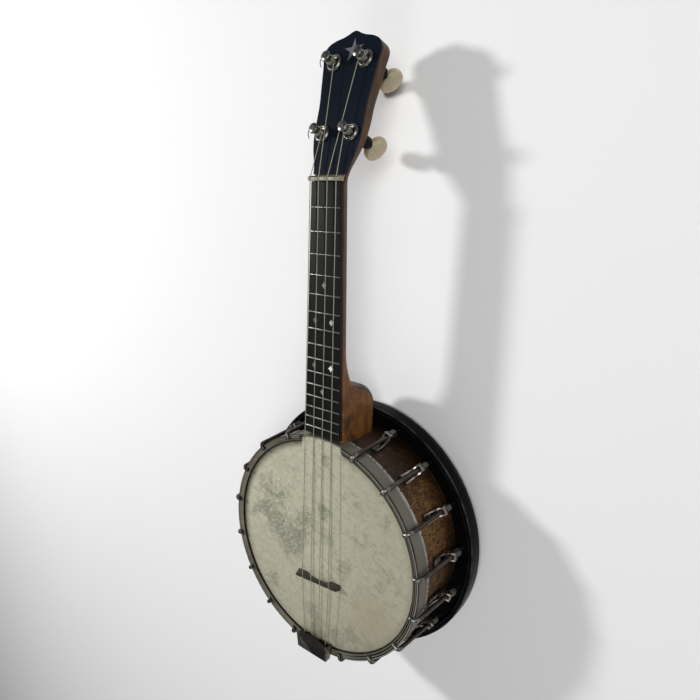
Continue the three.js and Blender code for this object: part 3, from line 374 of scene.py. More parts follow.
def neck_wood(make):
    """Mahogany on the neck, its grain running along it and open pores over it. The cap shows on the heel."""
    base, cap_edge = tint("mahogany"), bpy.context.scene.banjo_neck.heel_cap
    grain = make.noise(2.4, 8, 0.6, make.at(95, 7, 95), 0.6)
    bands = make.noise(1.3, 3, 0.5, make.at(60, 3, 60), 0.9)
    pores = make.step(make.noise(5, 4, 0.7, make.at(330, 22, 330)), 0.57, 0.66)
    near_heel = 1 - make.step(make.y, 150 * MM, 215 * MM)
    dark_patch = make.step(make.noise(38, 4, 0.6, None, 0.8), 0.54, 0.7)
    warm_patch = make.step(make.noise(26, 3, 0.5, None, 0.6), 0.48, 0.66)
    figure = make.noise(70, 4, 0.6, None, 1.6)
    tone = grain * 0.6 + bands * 0.4
    plain = make.ramp(tone, (0.34, shade(base, 0.42)), (0.5, shade(base, 0.85)), (0.64, shade(base, 1.3)),
                      (0.8, shade(base, 1.7)))
    warm = make.ramp(tone * 0.5 + figure * 0.5, (0.36, (0.060, 0.020, 0.006)), (0.47, (0.160, 0.062, 0.013)),
                     (0.58, (0.240, 0.105, 0.020)), (0.75, (0.32, 0.160, 0.036)))
    depth = make.node("ShaderNodeAttribute", {"attribute_name": "cap_depth"}, output="Fac")
    cap = 1 - make.step(depth, cap_edge, cap_edge + 0.1 * MM)
    line = 1 - make.step(depth, cap_edge + MM, cap_edge + 1.1 * MM) - cap
    cap_colour = make.ramp(make.noise(3, 5, 0.6, make.at(70, 12, 70)), (0.35, (0.045, 0.032, 0.024)),
                           (0.65, (0.13, 0.100, 0.075)))
    colour = make.layered(
        plain, (near_heel * 0.9, warm), (warm_patch * 0.45 * (1 - near_heel), (0.145, 0.062, 0.022)),
        (dark_patch * (0.3 + near_heel * 0.4), shade(base, 0.25)), (pores * 0.6, shade(base, 0.18)),
        (cap, cap_colour), (line, (0.008, 0.006, 0.005)))
    return make.done(colour, 0.42 + grain * 0.14 + pores * 0.15, grain * 0.25 - pores, 0.07, 0.7,
                     specular_ior_level=0.3)


# Smudges in the skin: x, y, size and strength
SKIN_SMUDGES = [
    (-68, 14, 16, 0.95), (-54, 12, 17, 1.0), (-60, -2, 14, 0.8), (-38, 2, 20, 1.0), (-25, 3, 16, 0.85),
    (-46, -12, 15, 0.9), (-31, -10, 15, 0.9), (-58, 32, 16, 0.6), (-74, 38, 12, 0.55), (-42, 31, 15, 0.45),
    (-16, 20, 16, 0.8), (4, 36, 15, 0.9), (6, 12, 15, 0.65), (3, 84, 11, 0.7), (36, 53, 12, 0.5),
    (73, 50, 13, 0.7), (-60, -62, 14, 0.9), (-9, -70, 18, 0.9), (24, -86, 17, 1.3), (40, -78, 16, 1.2),
    (54, -68, 13, 0.8), (70, 4, 11, 0.45), (30, -12, 15, 0.45), (-81, 8, 11, 0.5), (82, -6, 9, 0.5),
    (44, 22, 13, 0.35), (-40, 62, 13, 0.3), (-4, -88, 12, 0.9)]
# Yellowed places in the skin: x, y, size and strength
SKIN_YELLOWED = [(60, -46, 34, 1.0)]
# Radius of the skin that shows inside the tension hoop
SKIN_SEEN = 97.4 * MM


def drum_skin(make):
    """Skin of the drumhead: cream, with grey-green smudges and short pale fibres that lie all ways; near its
    edge, a painted shadow of the hoop and a dark ring of painted shade under the hoop's lip.
    """
    base, smudge = tint("skin"), tint("smudge")
    radius, flat = make.radius(), make.at(1, 1, 0)
    ragged, bent = make.pushed(make.pushed(flat, 30, 0.036), 100, 0.018), make.pushed(flat, 60, 0.010)
    patch = make.patches(ragged, SKIN_SMUDGES)
    cloud = make.noise(22, 4, 0.6, flat, 0.3)
    blot = make.noise(95, 5, 0.7, flat, 0.9)
    fine = make.noise(300, 3, 0.65, flat, 0.6)
    fibre = make.noise(1, 4, 0.62, make.laid(-0.45, 9, 3, bent), 0.6)
    pale = (make.dashes(0.62, 9, 1.7, 0.54, 0.63, bent)
            + make.dashes(-0.35, 7, 1.5, 0.56, 0.65, bent) * 0.8
            + make.dashes(1.75, 8, 1.6, 0.57, 0.66, bent) * 0.7)
    dark_strokes = (make.dashes(0.95, 8, 1.8, 0.55, 0.68, bent)
                    + make.dashes(-0.75, 7, 1.6, 0.57, 0.7, bent))
    dark = make.step(blot * 0.45 + fibre * 0.55 + patch * 0.32 + cloud * 0.3 + fine * 0.12, 0.68, 1.04)
    mottle = make.step(blot * 0.4 + fine * 0.2 + fibre * 0.4, 0.45, 0.62)
    left = 1 - make.step(make.x, -60 * MM, 20 * MM)
    low = 1 - make.step(make.y, -95 * MM, 10 * MM)
    greyed = make.step(make.x, -10 * MM, 70 * MM) + low * 0.9
    # Painted shadow of the hoop on the skin near its edge, strongest towards the upper left and left off
    # where the fingerboard crosses the hoop.
    away = make.step(make.y - make.x, 20 * MM, 120 * MM)
    off_board = 1 - (1 - make.step(abs(make.x), 22.3 * MM, 23 * MM)) * (make.y > 0)
    rim_shade = make.step(radius, 90 * MM, SKIN_SEEN) * (0.25 + away * 0.6) * off_board
    # Painted shade: a dark ring at the skin's edge, in the gap under the hoop's inner lip.
    foot = make.step(radius, SKIN_SEEN + 0.3 * MM, SKIN_SEEN + 0.5 * MM) * off_board
    colour = make.layered(
        shade(base, 0.95), (make.step(cloud, 0.38, 0.64), shade(base, 1.05)),
        (mottle * 0.42, shade(base, 0.62)), (dark * 0.8, smudge),
        (dark_strokes * (0.13 + dark * 0.2), shade(smudge, 0.62)),
        (pale * (0.16 + dark * 0.1 + left * 0.16), shade(base, 1.25)),
        (make.patches(flat, SKIN_YELLOWED) * 0.35, (0.36, 0.31, 0.17)),
        (greyed * (0.2 + cloud * 0.3), (0.270, 0.240, 0.180)),
        (rim_shade, (0.105, 0.098, 0.070)), (foot * 0.8, (0.022, 0.020, 0.015)))
    return make.done(colour, 0.62 + blot * 0.15, pale * 0.4 + fine * 0.5, 0.08, 0.5, specular_ior_level=0.3)


# Scale of fine scratches that run no one way
EVEN = (700, 700, 700)


def plated_metal(make, base, tarnish, amount, roughness, brushed=EVEN, tone=None):
    """Nickel plate: tarnished in clouds, finely scratched, and brushed along one stretch where given."""
    cloud = make.step(make.noise(160, 6, 0.65), 0.62 - amount * 0.45, 0.85 - amount * 0.3)
    spots = make.step(make.noise(900, 3, 0.6), 0.62, 0.75)
    scratch = make.noise(1, 4, 0.6, make.at(*brushed))
    colour = make.layered(base, (cloud * 0.9, tarnish), (spots * 0.5, shade(tarnish, 0.5)))
    dull = 0
    if tone:
        colour, dull = tone(make, colour)
    return make.done(colour, roughness + cloud * 0.2 + scratch * 0.1 + dull * 0.35, scratch + spots * 0.5,
                     0.012, 0.5, metallic=1 - cloud * 0.15)


def hook_tone(make, colour):
    """A hook is bright at its tip, dull and brown down its leg, and darkened along its thread as painted
    shade; hooks on the left and towards the tail are darkened as painted shade too.
    """
    leg = 1 - make.step(make.z, BEAD_TOP - 5 * MM, BEAD_TOP - 1 * MM)
    # Painted shade: the thread under the nut is darkened almost to black.
    thread = 1 - make.step(make.z, THREAD_END + 7.4 * MM, THREAD_END + 7.8 * MM)
    nut = (1 - make.step(make.z, SHOE_BOTTOM - 0.6 * MM, SHOE_BOTTOM)) * (1 - thread)
    dull = make.step(make.noise(70, 4, 0.6), 0.25, 0.6)
    # Painted shade: hooks towards the left and the tail are darkened, where they catch no reflection of the
    # lights.
    painted_shade_side = 1 - make.step(make.x + make.y * 0.5, -40 * MM, 50 * MM)
    return make.layered(
        colour, (leg * (0.66 + dull * 0.32), (0.062, 0.050, 0.041)), (nut * 0.7, (0.15, 0.155, 0.130)),
        (painted_shade_side * 0.85, (0.030, 0.028, 0.024)), (thread * 0.95, (0.008, 0.0075, 0.007))), thread


def shoe_tone(make, colour):
    """A shoe is darker on its end wall, and darkest inside its channel, where the darkening is painted shade.
    """
    radius = make.radius()
    end = make.step(radius, RIM_RADIUS + 8.5 * MM, RIM_RADIUS + 11.5 * MM)
    end_foot = end * (1 - make.step(make.z, SHOE_BOTTOM + 1 * MM, SHOE_BOTTOM + 5 * MM))
    # Painted shade deep in the channel, next to the rim.
    inside = 1 - make.step(radius, RIM_RADIUS + 2.2 * MM, RIM_RADIUS + 3.4 * MM)
    return make.layered(colour, (end_foot * 0.6, (0.090, 0.085, 0.070)),
                        (inside * 0.7, (0.030, 0.022, 0.016))), end_foot * 0.5


def tail_tone(make, colour):
    """The hood has fine light lines along its front, a painted highlight along its side edges, and a painted
    dark reflection over one corner.
    """
    back = (0 - make.y - HOOP_RADIUS + 2 * MM) / (15 * MM)
    # Painted reflection: one corner of the hood is darkened, as if mirroring dark surroundings.
    painted_dark_reflection = make.step((make.x + 17 * MM) / (34 * MM) - back * 0.7, 0.26, 0.40)
    # Painted highlight along the hood's side edges.
    edge = make.step(abs(make.x), 15.6 * MM, 16.2 * MM)
    wave = make.math("SINE", (make.y + make.x * make.x * 9) / (0.30 * MM))
    hem = make.step(wave, 0.2, 0.8) * (make.y > 6 * MM - HOOP_RADIUS)
    return make.layered(colour, (painted_dark_reflection * (1 - edge) * 0.75, (0.010, 0.009, 0.007)),
                        (hem * 0.5 + edge * 0.2, (0.16, 0.15, 0.115))), 0


def peg_tone(make, colour):
    """A peg is bright in front of the peghead, and darkened behind it as painted shade."""
    tilt = bpy.context.scene.banjo_neck.peghead_tilt
    depth = (make.y - NUT_BACK) * math.sin(tilt) + (make.z - BOARD_LOW.z) * math.cos(tilt)
    # Painted shade: the collar and stem behind the peghead are darkened almost to black.
    behind = 1 - make.step(depth, -9 * MM, -7 * MM)
    return make.mix(behind * 0.95, colour, (0.012, 0.009, 0.010)), behind


def hoop_metal(make):
    """Tension hoop: olive on its left between edges of painted shade; on its right, black lines of painted
    shade and gold and pale lines of painted highlight; over a satin grey-brown band.
    """
    tarnish, nickel, bead = tint("tarnish"), tint("nickel"), bpy.context.scene.banjo_pot.bead_width
    black, dark, gold = (shade(tarnish, factor) for factor in (0.05, 0.3, 1.6))
    pale = shade(nickel, 0.75)
    radius = make.radius()
    below_bead = 1 - make.step(make.z, BEAD_TOP - 2.2 * MM, BEAD_TOP - 1.8 * MM)
    band = below_bead * (radius > HOOP_RADIUS - 1.7 * MM)
    brushed = make.noise(1, 5, 0.6, make.at(14, 14, 1500))
    radial = make.noise(1, 4, 0.6, make.at(300, 300, 40))
    cloud = make.noise(34, 5, 0.6)
    spots = make.step(make.noise(420, 4, 0.6), 0.62, 0.74)
    worn = make.step(make.noise(120, 4, 0.6), 0.35, 0.62)
    olive = make.ramp(cloud * 0.7 + radial * 0.3, (0.35, shade(tarnish, 1.05)), (0.52, shade(tarnish, 1.8)),
                      (0.7, shade(tarnish, 2.4)))
    share = (radius - (HOOP_RADIUS - bead)) / bead
    # Painted shade on the left: black at the bead's inner foot and outer edge, with the olive between them.
    unshaded_middle = make.ramp(share, (0.12, 0), (0.17, 1), (0.85, 1), (0.9, 0))
    # Painted light on the right: black lines of painted shade in the grooves and on grazing faces, gold and
    # pale lines of painted highlight on the crests.
    painted_light_lines = make.ramp(share, (0.16, black), (0.20, gold), (0.27, gold), (0.31, black), (0.50, black),
                      (0.55, shade(tarnish, 2.2)), (0.62, gold), (0.66, black), (0.79, black), (0.84, pale),
                      (0.90, pale), (0.95, dark))
    # The bead is painted one way on the left and another on the right, as light falls on each side, blended
    # by where it lies round the hoop.
    right = make.step(make.x + make.y * 0.35, -25 * MM, 30 * MM)
    front = make.mix(right, make.mix(unshaded_middle, black, olive), make.mix(worn * 0.15, painted_light_lines, olive))
    foot = 1 - make.step(make.z, BAND_BOTTOM + 0.9 * MM, BAND_BOTTOM + 1.3 * MM)
    plate = make.layered(shade(nickel, 0.62), (cloud, shade(nickel, 0.42)), (0.45, (0.180, 0.155, 0.105)),
                         (foot * worn * 0.6, shade(nickel, 0.9)))
    colour = make.layered(front, (band, plate), (spots * 0.4, shade(tarnish, 0.4)))
    return make.done(colour, 0.4 + band * 0.06 + brushed * 0.16 + spots * 0.15, brushed + spots, 0.015, 0.6,
                     metallic=0.9 - (1 - band) * 0.6, specular_ior_level=0.2)


def fretboard_wood(make):
    """Ebonised board, with faint grain, its sides showing brown."""
    base = tint("ebony")
    grain = make.noise(2.5, 7, 0.6, make.at(220, 9, 220), 0.4)
    pores = make.step(make.noise(4, 4, 0.7, make.at(420, 24, 420)), 0.56, 0.66)
    below = 1 - make.step(make.z, BOARD_HIGH.z - 2.2 * MM, BOARD_HIGH.z - 1.6 * MM)
    worn = make.step(make.noise(18, 4, 0.6), 0.45, 0.7)
    side = make.mix(grain, (0.014, 0.009, 0.010), (0.045, 0.026, 0.024))
    colour = make.layered(shade(base, 0.6), (grain, shade(base, 1.9)), (worn * 0.2, (0.020, 0.020, 0.020)),
                          (below * 0.8, side))
    return make.done(colour, 0.42 + grain * 0.18 + pores * 0.1, grain * 0.4 - pores, 0.05, 0.6,
                     specular_ior_level=0.08)


def peghead_veneer(make):
    """Black dyed veneer, polished, with faint grain and small scratches."""
    base = tint("veneer")
    grain = make.noise(2.2, 6, 0.6, make.at(150, 8, 150), 0.4)
    scratch = make.dashes(0.5, 14, 0.7, 0.66, 0.74)
    haze = make.noise(26, 4, 0.6)
    colour = make.layered(base, (grain * 0.7, shade(base, 1.9)), (scratch * 0.2, shade(base, 4)))
    return make.done(colour, 0.2 + haze * 0.14 + scratch * 0.1, grain * 0.5 - scratch * 0.5, 0.02, 0.5,
                     specular_ior_level=0.2)


def bone(make):
    """Aged bone with fine streaks and grime in its low places."""
    base = tint("bone")
    streak = make.noise(3, 5, 0.6, make.at(90, 600, 300))
    grime = make.step(make.noise(260, 4, 0.6), 0.55, 0.75)
    colour = make.layered(shade(base, 0.75), (streak, shade(base, 1.15)), (grime * 0.5, (0.15, 0.115, 0.06)))
    return make.done(colour, 0.4 + streak * 0.15, streak + grime, 0.02, 0.5)


def bridge_maple(make):
    """Stained maple bridge with a dark strip along its top."""
    base = tint("maple")
    grain = make.noise(3, 6, 0.6, make.at(30, 400, 400))
    flecks = make.step(make.noise(5, 3, 0.6, make.at(220, 900, 900)), 0.56, 0.66)
    strip = make.step(make.z, BRIDGE_TOP - 1.5 * MM, BRIDGE_TOP - 1.35 * MM)
    colour = make.layered(shade(base, 0.55), (grain, shade(base, 1.2)), (flecks * 0.4, shade(base, 0.35)),
                          (strip * 0.92, (0.018, 0.013, 0.010)))
    return make.done(colour, 0.42 + grain * 0.15, grain - flecks * 0.4, 0.03, 0.5)


def pearloid(make):
    """Pearloid button: pale clouded flakes under a clear skin."""
    base = tint("pearloid")
    flakes = make.node("ShaderNodeTexVoronoi", {"feature": "SMOOTH_F1"}, {
        "Vector": make.place, "Scale": 330.0, "Smoothness": 0.6})
    swirl = make.noise(120, 5, 0.6, None, 2.2)
    vein = make.step(make.noise(90, 3, 0.5, None, 1.5), 0.5, 0.62)
    colour = make.layered(shade(base, 0.72), (swirl, shade(base, 1.22)), (flakes * 0.8, shade(base, 0.9)),
                          (vein * 0.4, (0.66, 0.58, 0.38)))
    return make.done(colour, 0.26 + swirl * 0.12, swirl, 0.02, 0.4, subsurface_weight=0.15, coat_weight=0.4,
                     coat_roughness=0.1)


def pearl(make):
    """Mother-of-pearl in shifting bands: violet in the star, dim on the left, white in the cross."""
    base = tint("pearl")
    band = make.noise(260, 4, 0.5, None, 3.0)
    star = make.step(make.y, NUT_BACK, NUT_BACK + 20 * MM)
    dim = (1 - make.step(make.x, -7 * MM, 9 * MM)) * (1 - star)
    white = (make.x > 4 * MM) * (make.y < NUT_BACK - 130 * MM) * (1 - star)
    banded = make.ramp(band, (0.3, shade(base, 0.5)), (0.45, shade(base, 1.2)), (0.55, shade(base, 1.5)),
                       (0.7, shade(base, 0.8)))
    violet = make.mix(band, (0.050, 0.046, 0.075), (0.115, 0.108, 0.140))
    colour = make.layered(banded, (star * 0.85, violet), (dim * 0.75, (0.045, 0.055, 0.055)),
                          (white, (0.8, 0.82, 0.82)))
    return make.done(colour, 0.3 + band * 0.1, band, 0.02, 0.4)


def nylon(make):
    """Clear nylon string, slightly yellowed, with faint drawing marks."""
    base = tint("nylon")
    marks = make.noise(5, 3, 0.5, make.at(400, 30, 400))
    colour = make.mix(marks, shade(base, 0.75), shade(base, 1.15))
    return make.done(colour, 0.4 + marks * 0.1, marks, 0.01, 0.4)


def raw_wood(make):
    """Plain oiled wood of the stick inside the pot."""
    base = tint("maple")
    grain = make.noise(3, 6, 0.6, make.at(120, 9, 120), 0.5)
    colour = make.mix(grain, shade(base, 0.7), shade(base, 1.6))
    return make.done(colour, 0.6 + grain * 0.2, grain, 0.06, 0.6)


def floor_finish():
    """Pale matt floor with a barely visible unevenness."""
    make = Finish("studio_floor")
    colour = make.mix(make.noise(3, 3, 0.5), (0.86, 0.86, 0.86), (0.9, 0.9, 0.9))
    return make.set(base_color=colour, roughness=0.9, specular_ior_level=0.1)


SURFACES = {each.__name__: each for each in (
    black_lacquer, rim_walnut, neck_wood, drum_skin, hoop_metal, fretboard_wood, peghead_veneer, bone,
    bridge_maple, pearloid, pearl, nylon, raw_wood)}
FINISHES = {}


def finish(name):
    """Returns the named finish and makes it at its first use."""
    if name in FINISHES:
        return FINISHES[name]
    nickel, tarnish = tint("nickel"), tint("tarnish")
    plates = {
        "hook_metal": (shade(nickel, 0.58), tarnish, 0.45, 0.3, EVEN, hook_tone),
        "shoe_metal": (warmed(shade(nickel, 0.9)), tarnish, 0.3, 0.22, EVEN, shoe_tone),
        "peg_metal": (shade(nickel, 0.52), shade(tarnish, 0.5), 0.45, 0.24, EVEN, peg_tone),
        "flesh_metal": (shade(nickel, 0.95), tarnish, 0.3, 0.42, (20, 20, 900)),
        "tail_metal": (shade(nickel, 0.46), shade(tarnish, 0.35), 0.5, 0.4, (900, 60, 900), tail_tone),
        "fret_metal": (shade(nickel, 0.62), tarnish, 0.4, 0.28),
        "dark_metal": ((0.016, 0.006, 0.005), (0.006, 0.004, 0.003), 0.5, 0.6),
        "string_end": ((0.060, 0.050, 0.046), shade(tarnish, 0.3), 0.5, 0.5),
    }
    make = Finish(name)
    FINISHES[name] = plated_metal(make, *plates[name]) if name in plates else SURFACES[name](make)
    return FINISHES[name]


# Mesh making


SMOOTH_ANGLE = math.radians(32)


def mesh_object(name, points, faces):
    mesh = bpy.data.meshes.new(name)
    mesh.from_pydata([tuple(p) for p in points], [], faces)
    mesh.update()
    thing = bpy.data.objects.new(name, mesh)
    bpy.context.scene.collection.objects.link(thing)
    return thing


def tidy(thing, smooth_angle=SMOOTH_ANGLE):
    """Merges doubles, turns the faces outwards and smooths all but the sharp edges."""
    work = bmesh.new()
    work.from_mesh(thing.data)
    bmesh.ops.remove_doubles(work, verts=work.verts, dist=0.001 * MM)
    bmesh.ops.recalc_face_normals(work, faces=work.faces)
    work.to_mesh(thing.data)
    work.free()
    thing.data.shade_smooth()
    thing.data.set_sharp_from_angle(angle=smooth_angle)
    return thing


def settle(thing, material=None, body="root", replaces=()):
    """Gives a finished piece its material, body, slot and the frame nodes that it stands for."""
    if material:
        thing.data.materials.clear()
        thing.data.materials.append(finish(material))
    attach(thing, body)
    if replaces:
        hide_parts(*replaces)
    return thing


def apply_modifiers(thing):
    """Bakes the modifiers into the mesh."""
    bpy.context.view_layer.update()
    evaluated = thing.evaluated_get(bpy.context.evaluated_depsgraph_get())
    mesh = bpy.data.meshes.new_from_object(evaluated)
    thing.modifiers.clear()
    old = thing.data
    thing.data = mesh
    bpy.data.meshes.remove(old)
    mesh.name = thing.name
    return thing


def joined(name, things):
    """Joins several objects into one mesh and removes them."""
    work = bmesh.new()
    for thing in things:
        work.from_mesh(thing.data)
    mesh = bpy.data.meshes.new(name)
    work.to_mesh(mesh)
    work.free()
    for thing in things:
        bpy.data.objects.remove(thing)
    result = bpy.data.objects.new(name, mesh)
    bpy.context.scene.collection.objects.link(result)
    return result


def boolean(thing, cutter, operation="DIFFERENCE"):
    """Cuts a piece with another, or keeps what they share, and removes the other."""
    modifier = thing.modifiers.new("cut", "BOOLEAN")
    modifier.object = cutter
    modifier.operation = operation
    modifier.solver = "EXACT"
    apply_modifiers(thing)
    bpy.data.objects.remove(cutter)
    return thing


def bevelled(thing, width, segments=2, angle=math.radians(30)):
    modifier = thing.modifiers.new("edges", "BEVEL")
    modifier.width = width
    modifier.segments = segments
    modifier.limit_method = "ANGLE"
    modifier.angle_limit = angle
    modifier.use_clamp_overlap = True
    return apply_modifiers(thing)


def filleted(corners, steps=5):
    """A closed outline of (x, y, fillet radius) corners, with each fillet as an arc."""
    points = []
    for i, (x, y, radius) in enumerate(corners):
        here = Vector((x, y))
        before = Vector(corners[i - 1][:2]) - here
        after = Vector(corners[(i + 1) % len(corners)][:2]) - here
        if radius <= 0:
            points.append((x, y))
            continue
        half = before.angle(after) / 2
        back = min(radius / math.tan(half), before.length * 0.49, after.length * 0.49)
        reach = back * math.tan(half)
        start = here + before.normalized() * back
        end = here + after.normalized() * back
        centre = here + (before.normalized() + after.normalized()).normalized() * (reach / math.sin(half))
        first, last = start - centre, end - centre
        turn = first.angle_signed(last)
        for step in range(steps + 1):
            angle = -turn * step / steps
            arm = Vector((first.x * math.cos(angle) - first.y * math.sin(angle),
                          first.x * math.sin(angle) + first.y * math.cos(angle)))
            points.append(tuple(centre + arm))
    return points


def near(x, y, corners):
    """Corners for filleted that are counted in millimetres from one place: x, y and fillet radius."""
    return [(x + across * MM, y + up * MM, radius * MM) for across, up, radius in corners]


def turned(name, outline, steps=RING_STEPS):
    """A body of revolution about Z from a closed outline of (radius, height) points."""
    points, faces, rows = [], [], []
    for radius, height in outline:
        if radius < 1e-7:
            rows.append([len(points)] * steps)
            points.append((0, 0, height))
            continue
        rows.append(list(range(len(points), len(points) + steps)))
        for step in range(steps):
            angle = 2 * math.pi * step / steps
            points.append((radius * math.cos(angle), radius * math.sin(angle), height))
    for first, second in zip(rows, rows[1:] + rows[:1]):
        if first[0] == first[1] and second[0] == second[1]:
            continue
        for step in range(steps):
            after = (step + 1) % steps
            corners = [first[step], first[after], second[after], second[step]]
            faces.append(list(dict.fromkeys(corners)))
    return tidy(mesh_object(name, points, faces))


def lofted(name, sections, smooth_angle=SMOOTH_ANGLE):
    """A skin over sections of equal count, closed at both ends."""
    around = len(sections[0])
    points = [point for section in sections for point in section]
    faces = []
    for row in range(len(sections) - 1):
        for step in range(around):
            after = (step + 1) % around
            faces.append((row * around + step, row * around + after,
                          (row + 1) * around + after, (row + 1) * around + step))
    faces.append(tuple(reversed(range(around))))
    faces.append(tuple(range((len(sections) - 1) * around, len(sections) * around)))
    return tidy(mesh_object(name, points, faces), smooth_angle)


def swept(name, path, radius, sides=12, round_ends=False):
    """A round rod along a path, with domed ends where asked."""
    points = [Vector(p) for p in path]
    radii = [radius] * len(points)
    if round_ends:
        out_start = (points[0] - points[1]).normalized()
        out_end = (points[-1] - points[-2]).normalized()
        for share in (0.45, 0.8, 0.98):
            size = radius * math.sqrt(1 - share * share)
            points.insert(0, Vector(path[0]) + out_start * radius * share)
            radii.insert(0, size)
            points.append(Vector(path[-1]) + out_end * radius * share)
            radii.append(size)
    sections = []
    across = None
    for i, point in enumerate(points):
        before = points[max(i - 1, 0)]
        after = points[min(i + 1, len(points) - 1)]
        arriving = (point - before).normalized() if i else (after - point).normalized()
        leaving = (after - point).normalized() if i < len(points) - 1 else arriving
        tangent = (arriving + leaving).normalized()
        if across is None:
            across = tangent.orthogonal().normalized()
        across = (across - tangent * across.dot(tangent)).normalized()
        other = tangent.cross(across)
        ring = []
        for step in range(sides):
            angle = 2 * math.pi * step / sides
            ring.append(point + (across * math.cos(angle) + other * math.sin(angle)) * radii[i])
        sections.append(ring)
    return lofted(name, sections, math.radians(50))


def plate(name, outline, bottom, top):
    """A flat outline in X and Y, raised from bottom to top."""
    return lofted(name, [[(x, y, bottom) for x, y in outline], [(x, y, top) for x, y in outline]])


def across_x(name, outline, width):
    """An outline of (y, z) points, extruded across X and centred on it."""
    half = width / 2
    return lofted(name, [[(-half, y, z) for y, z in outline], [(half, y, z) for y, z in outline]])


def block(name, size, centre):
    """A box of the given width, depth and height, for cutting."""
    w, d, h = (part / 2 for part in size)
    x, y, z = centre
    return plate(name, [(x - w, y - d), (x + w, y - d), (x + w, y + d), (x - w, y + d)], z - h, z + h)


def moved(thing, matrix):
    """Moves a piece's mesh, so that its object stays at the origin."""
    thing.data.transform(matrix)
    thing.data.update()
    return thing


# Repeats by Geometry Nodes


class Repeat(Nodes):
    """A Geometry Nodes tree that repeats the object's own mesh and gives it a material."""

    def __init__(self, name, inputs):
        super().__init__(bpy.data.node_groups.new(name, "GeometryNodeTree"))
        face = self.tree.interface
        face.new_socket(name="Geometry", in_out="INPUT", socket_type="NodeSocketGeometry")
        self.identifiers = {}
        for label, kind in inputs.items():
            socket = face.new_socket(name=label, in_out="INPUT", socket_type=kind)
            self.identifiers[label] = socket.identifier
        face.new_socket(name="Geometry", in_out="OUTPUT", socket_type="NodeSocketGeometry")
        self.source = self.tree.nodes.new("NodeGroupInput")
        self.target = self.tree.nodes.new("NodeGroupOutput")

    def given(self, label):
        return Wire(self, self.source.outputs[label])

    def finish_with(self, geometry, material):
        whole = self.node("GeometryNodeRealizeInstances", {}, {"Geometry": geometry})
        coloured = self.node("GeometryNodeSetMaterial", {}, {"Geometry": whole, "Material": material})
        self.tree.links.new(coloured.socket, self.target.inputs[0])

    def run(self, thing, values):
        """Runs the tree on an object with these values and leaves a plain mesh."""
        modifier = thing.modifiers.new("repeat", "NODES")
        modifier.node_group = self.tree
        for label, value in values.items():
            modifier[self.identifiers[label]] = value
        return apply_modifiers(thing)


def ring_repeat():
    """Turns a piece made on the +Y side to each hook's place round the pot, leaving out the neck's place."""
    make = Repeat("ring_of_hardware", {
        "Each side": "NodeSocketInt", "Pitch": "NodeSocketFloat", "Material": "NodeSocketMaterial"})
    side = make.given("Each side")
    index = make.node("GeometryNodeInputIndex")
    place = index - side
    dots = make.node("GeometryNodePoints", {}, {"Count": side * 2 + 1})
    turn = make.node("ShaderNodeCombineXYZ", {}, {"Z": place * make.given("Pitch")})
    copies = make.node("GeometryNodeInstanceOnPoints", {}, {
        "Points": dots, "Selection": abs(place) > 0.5, "Instance": make.given("Geometry"), "Rotation": turn})
    make.finish_with(copies, make.given("Material"))
    return make


def round_pot(piece, sizes, material):
    """Repeats a piece made on the +Y side at each hook's place."""
    return ring_repeat().run(piece, {
        "Each side": sizes.hooks_a_side, "Pitch": sizes.hook_pitch, "Material": finish(material)})


def fret_repeat():
    """Sets a fret of unit half width at each semitone, as wide as the board is there."""
    make = Repeat("frets_by_semitone", {
        "Frets": "NodeSocketInt", "Scale length": "NodeSocketFloat", "Nut": "NodeSocketFloat",
        "Half width": "NodeSocketFloat", "Taper": "NodeSocketFloat", "Material": "NodeSocketMaterial"})
    index = make.node("GeometryNodeInputIndex")
    along = make.given("Scale length") * (1 - 2.0 ** ((index + 1) / -12))
    dots = make.node("GeometryNodePoints", {}, {
        "Count": make.given("Frets"),
        "Position": make.node("ShaderNodeCombineXYZ", {}, {"Y": make.given("Nut") - along})})
    half = make.given("Half width") + make.given("Taper") * along
    copies = make.node("GeometryNodeInstanceOnPoints", {}, {
        "Points": dots, "Instance": make.given("Geometry"),
        "Scale": make.node("ShaderNodeCombineXYZ", {}, {"X": half, "Y": 1.0, "Z": 1.0})})
    make.finish_with(copies, make.given("Material"))
    return make


def crimp_repeat():
    """Scatters crimp marks round the flesh hoop, with some left out."""
    make = Repeat("crimp_marks", {
        "Marks": "NodeSocketInt", "Kept": "NodeSocketFloat", "Seed": "NodeSocketInt",
        "Material": "NodeSocketMaterial"})
    index = make.node("GeometryNodeInputIndex")
    marks = make.given("Marks")
    jitter = make.node("FunctionNodeRandomValue", {"data_type": "FLOAT"}, {
        2: -0.25, 3: 0.25, "ID": index, "Seed": make.given("Seed")}, output=1)
    chance = make.node("FunctionNodeRandomValue", {"data_type": "FLOAT"}, {
        2: 0.0, 3: 1.0, "ID": index, "Seed": make.given("Seed") + 7}, output=1)
    turn = (index + jitter) / marks * (2 * math.pi)
    copies = make.node("GeometryNodeInstanceOnPoints", {}, {
        "Points": make.node("GeometryNodePoints", {}, {"Count": marks}),
        "Selection": chance < make.given("Kept"),
        "Instance": make.given("Geometry"),
        "Rotation": make.node("ShaderNodeCombineXYZ", {}, {"Z": turn})})
    make.finish_with(copies, make.given("Material"))
    return make


# Pot

# Width of the square hole for the stick, in the rim and in the heel
SOCKET_WIDTH = 22.6 * MM


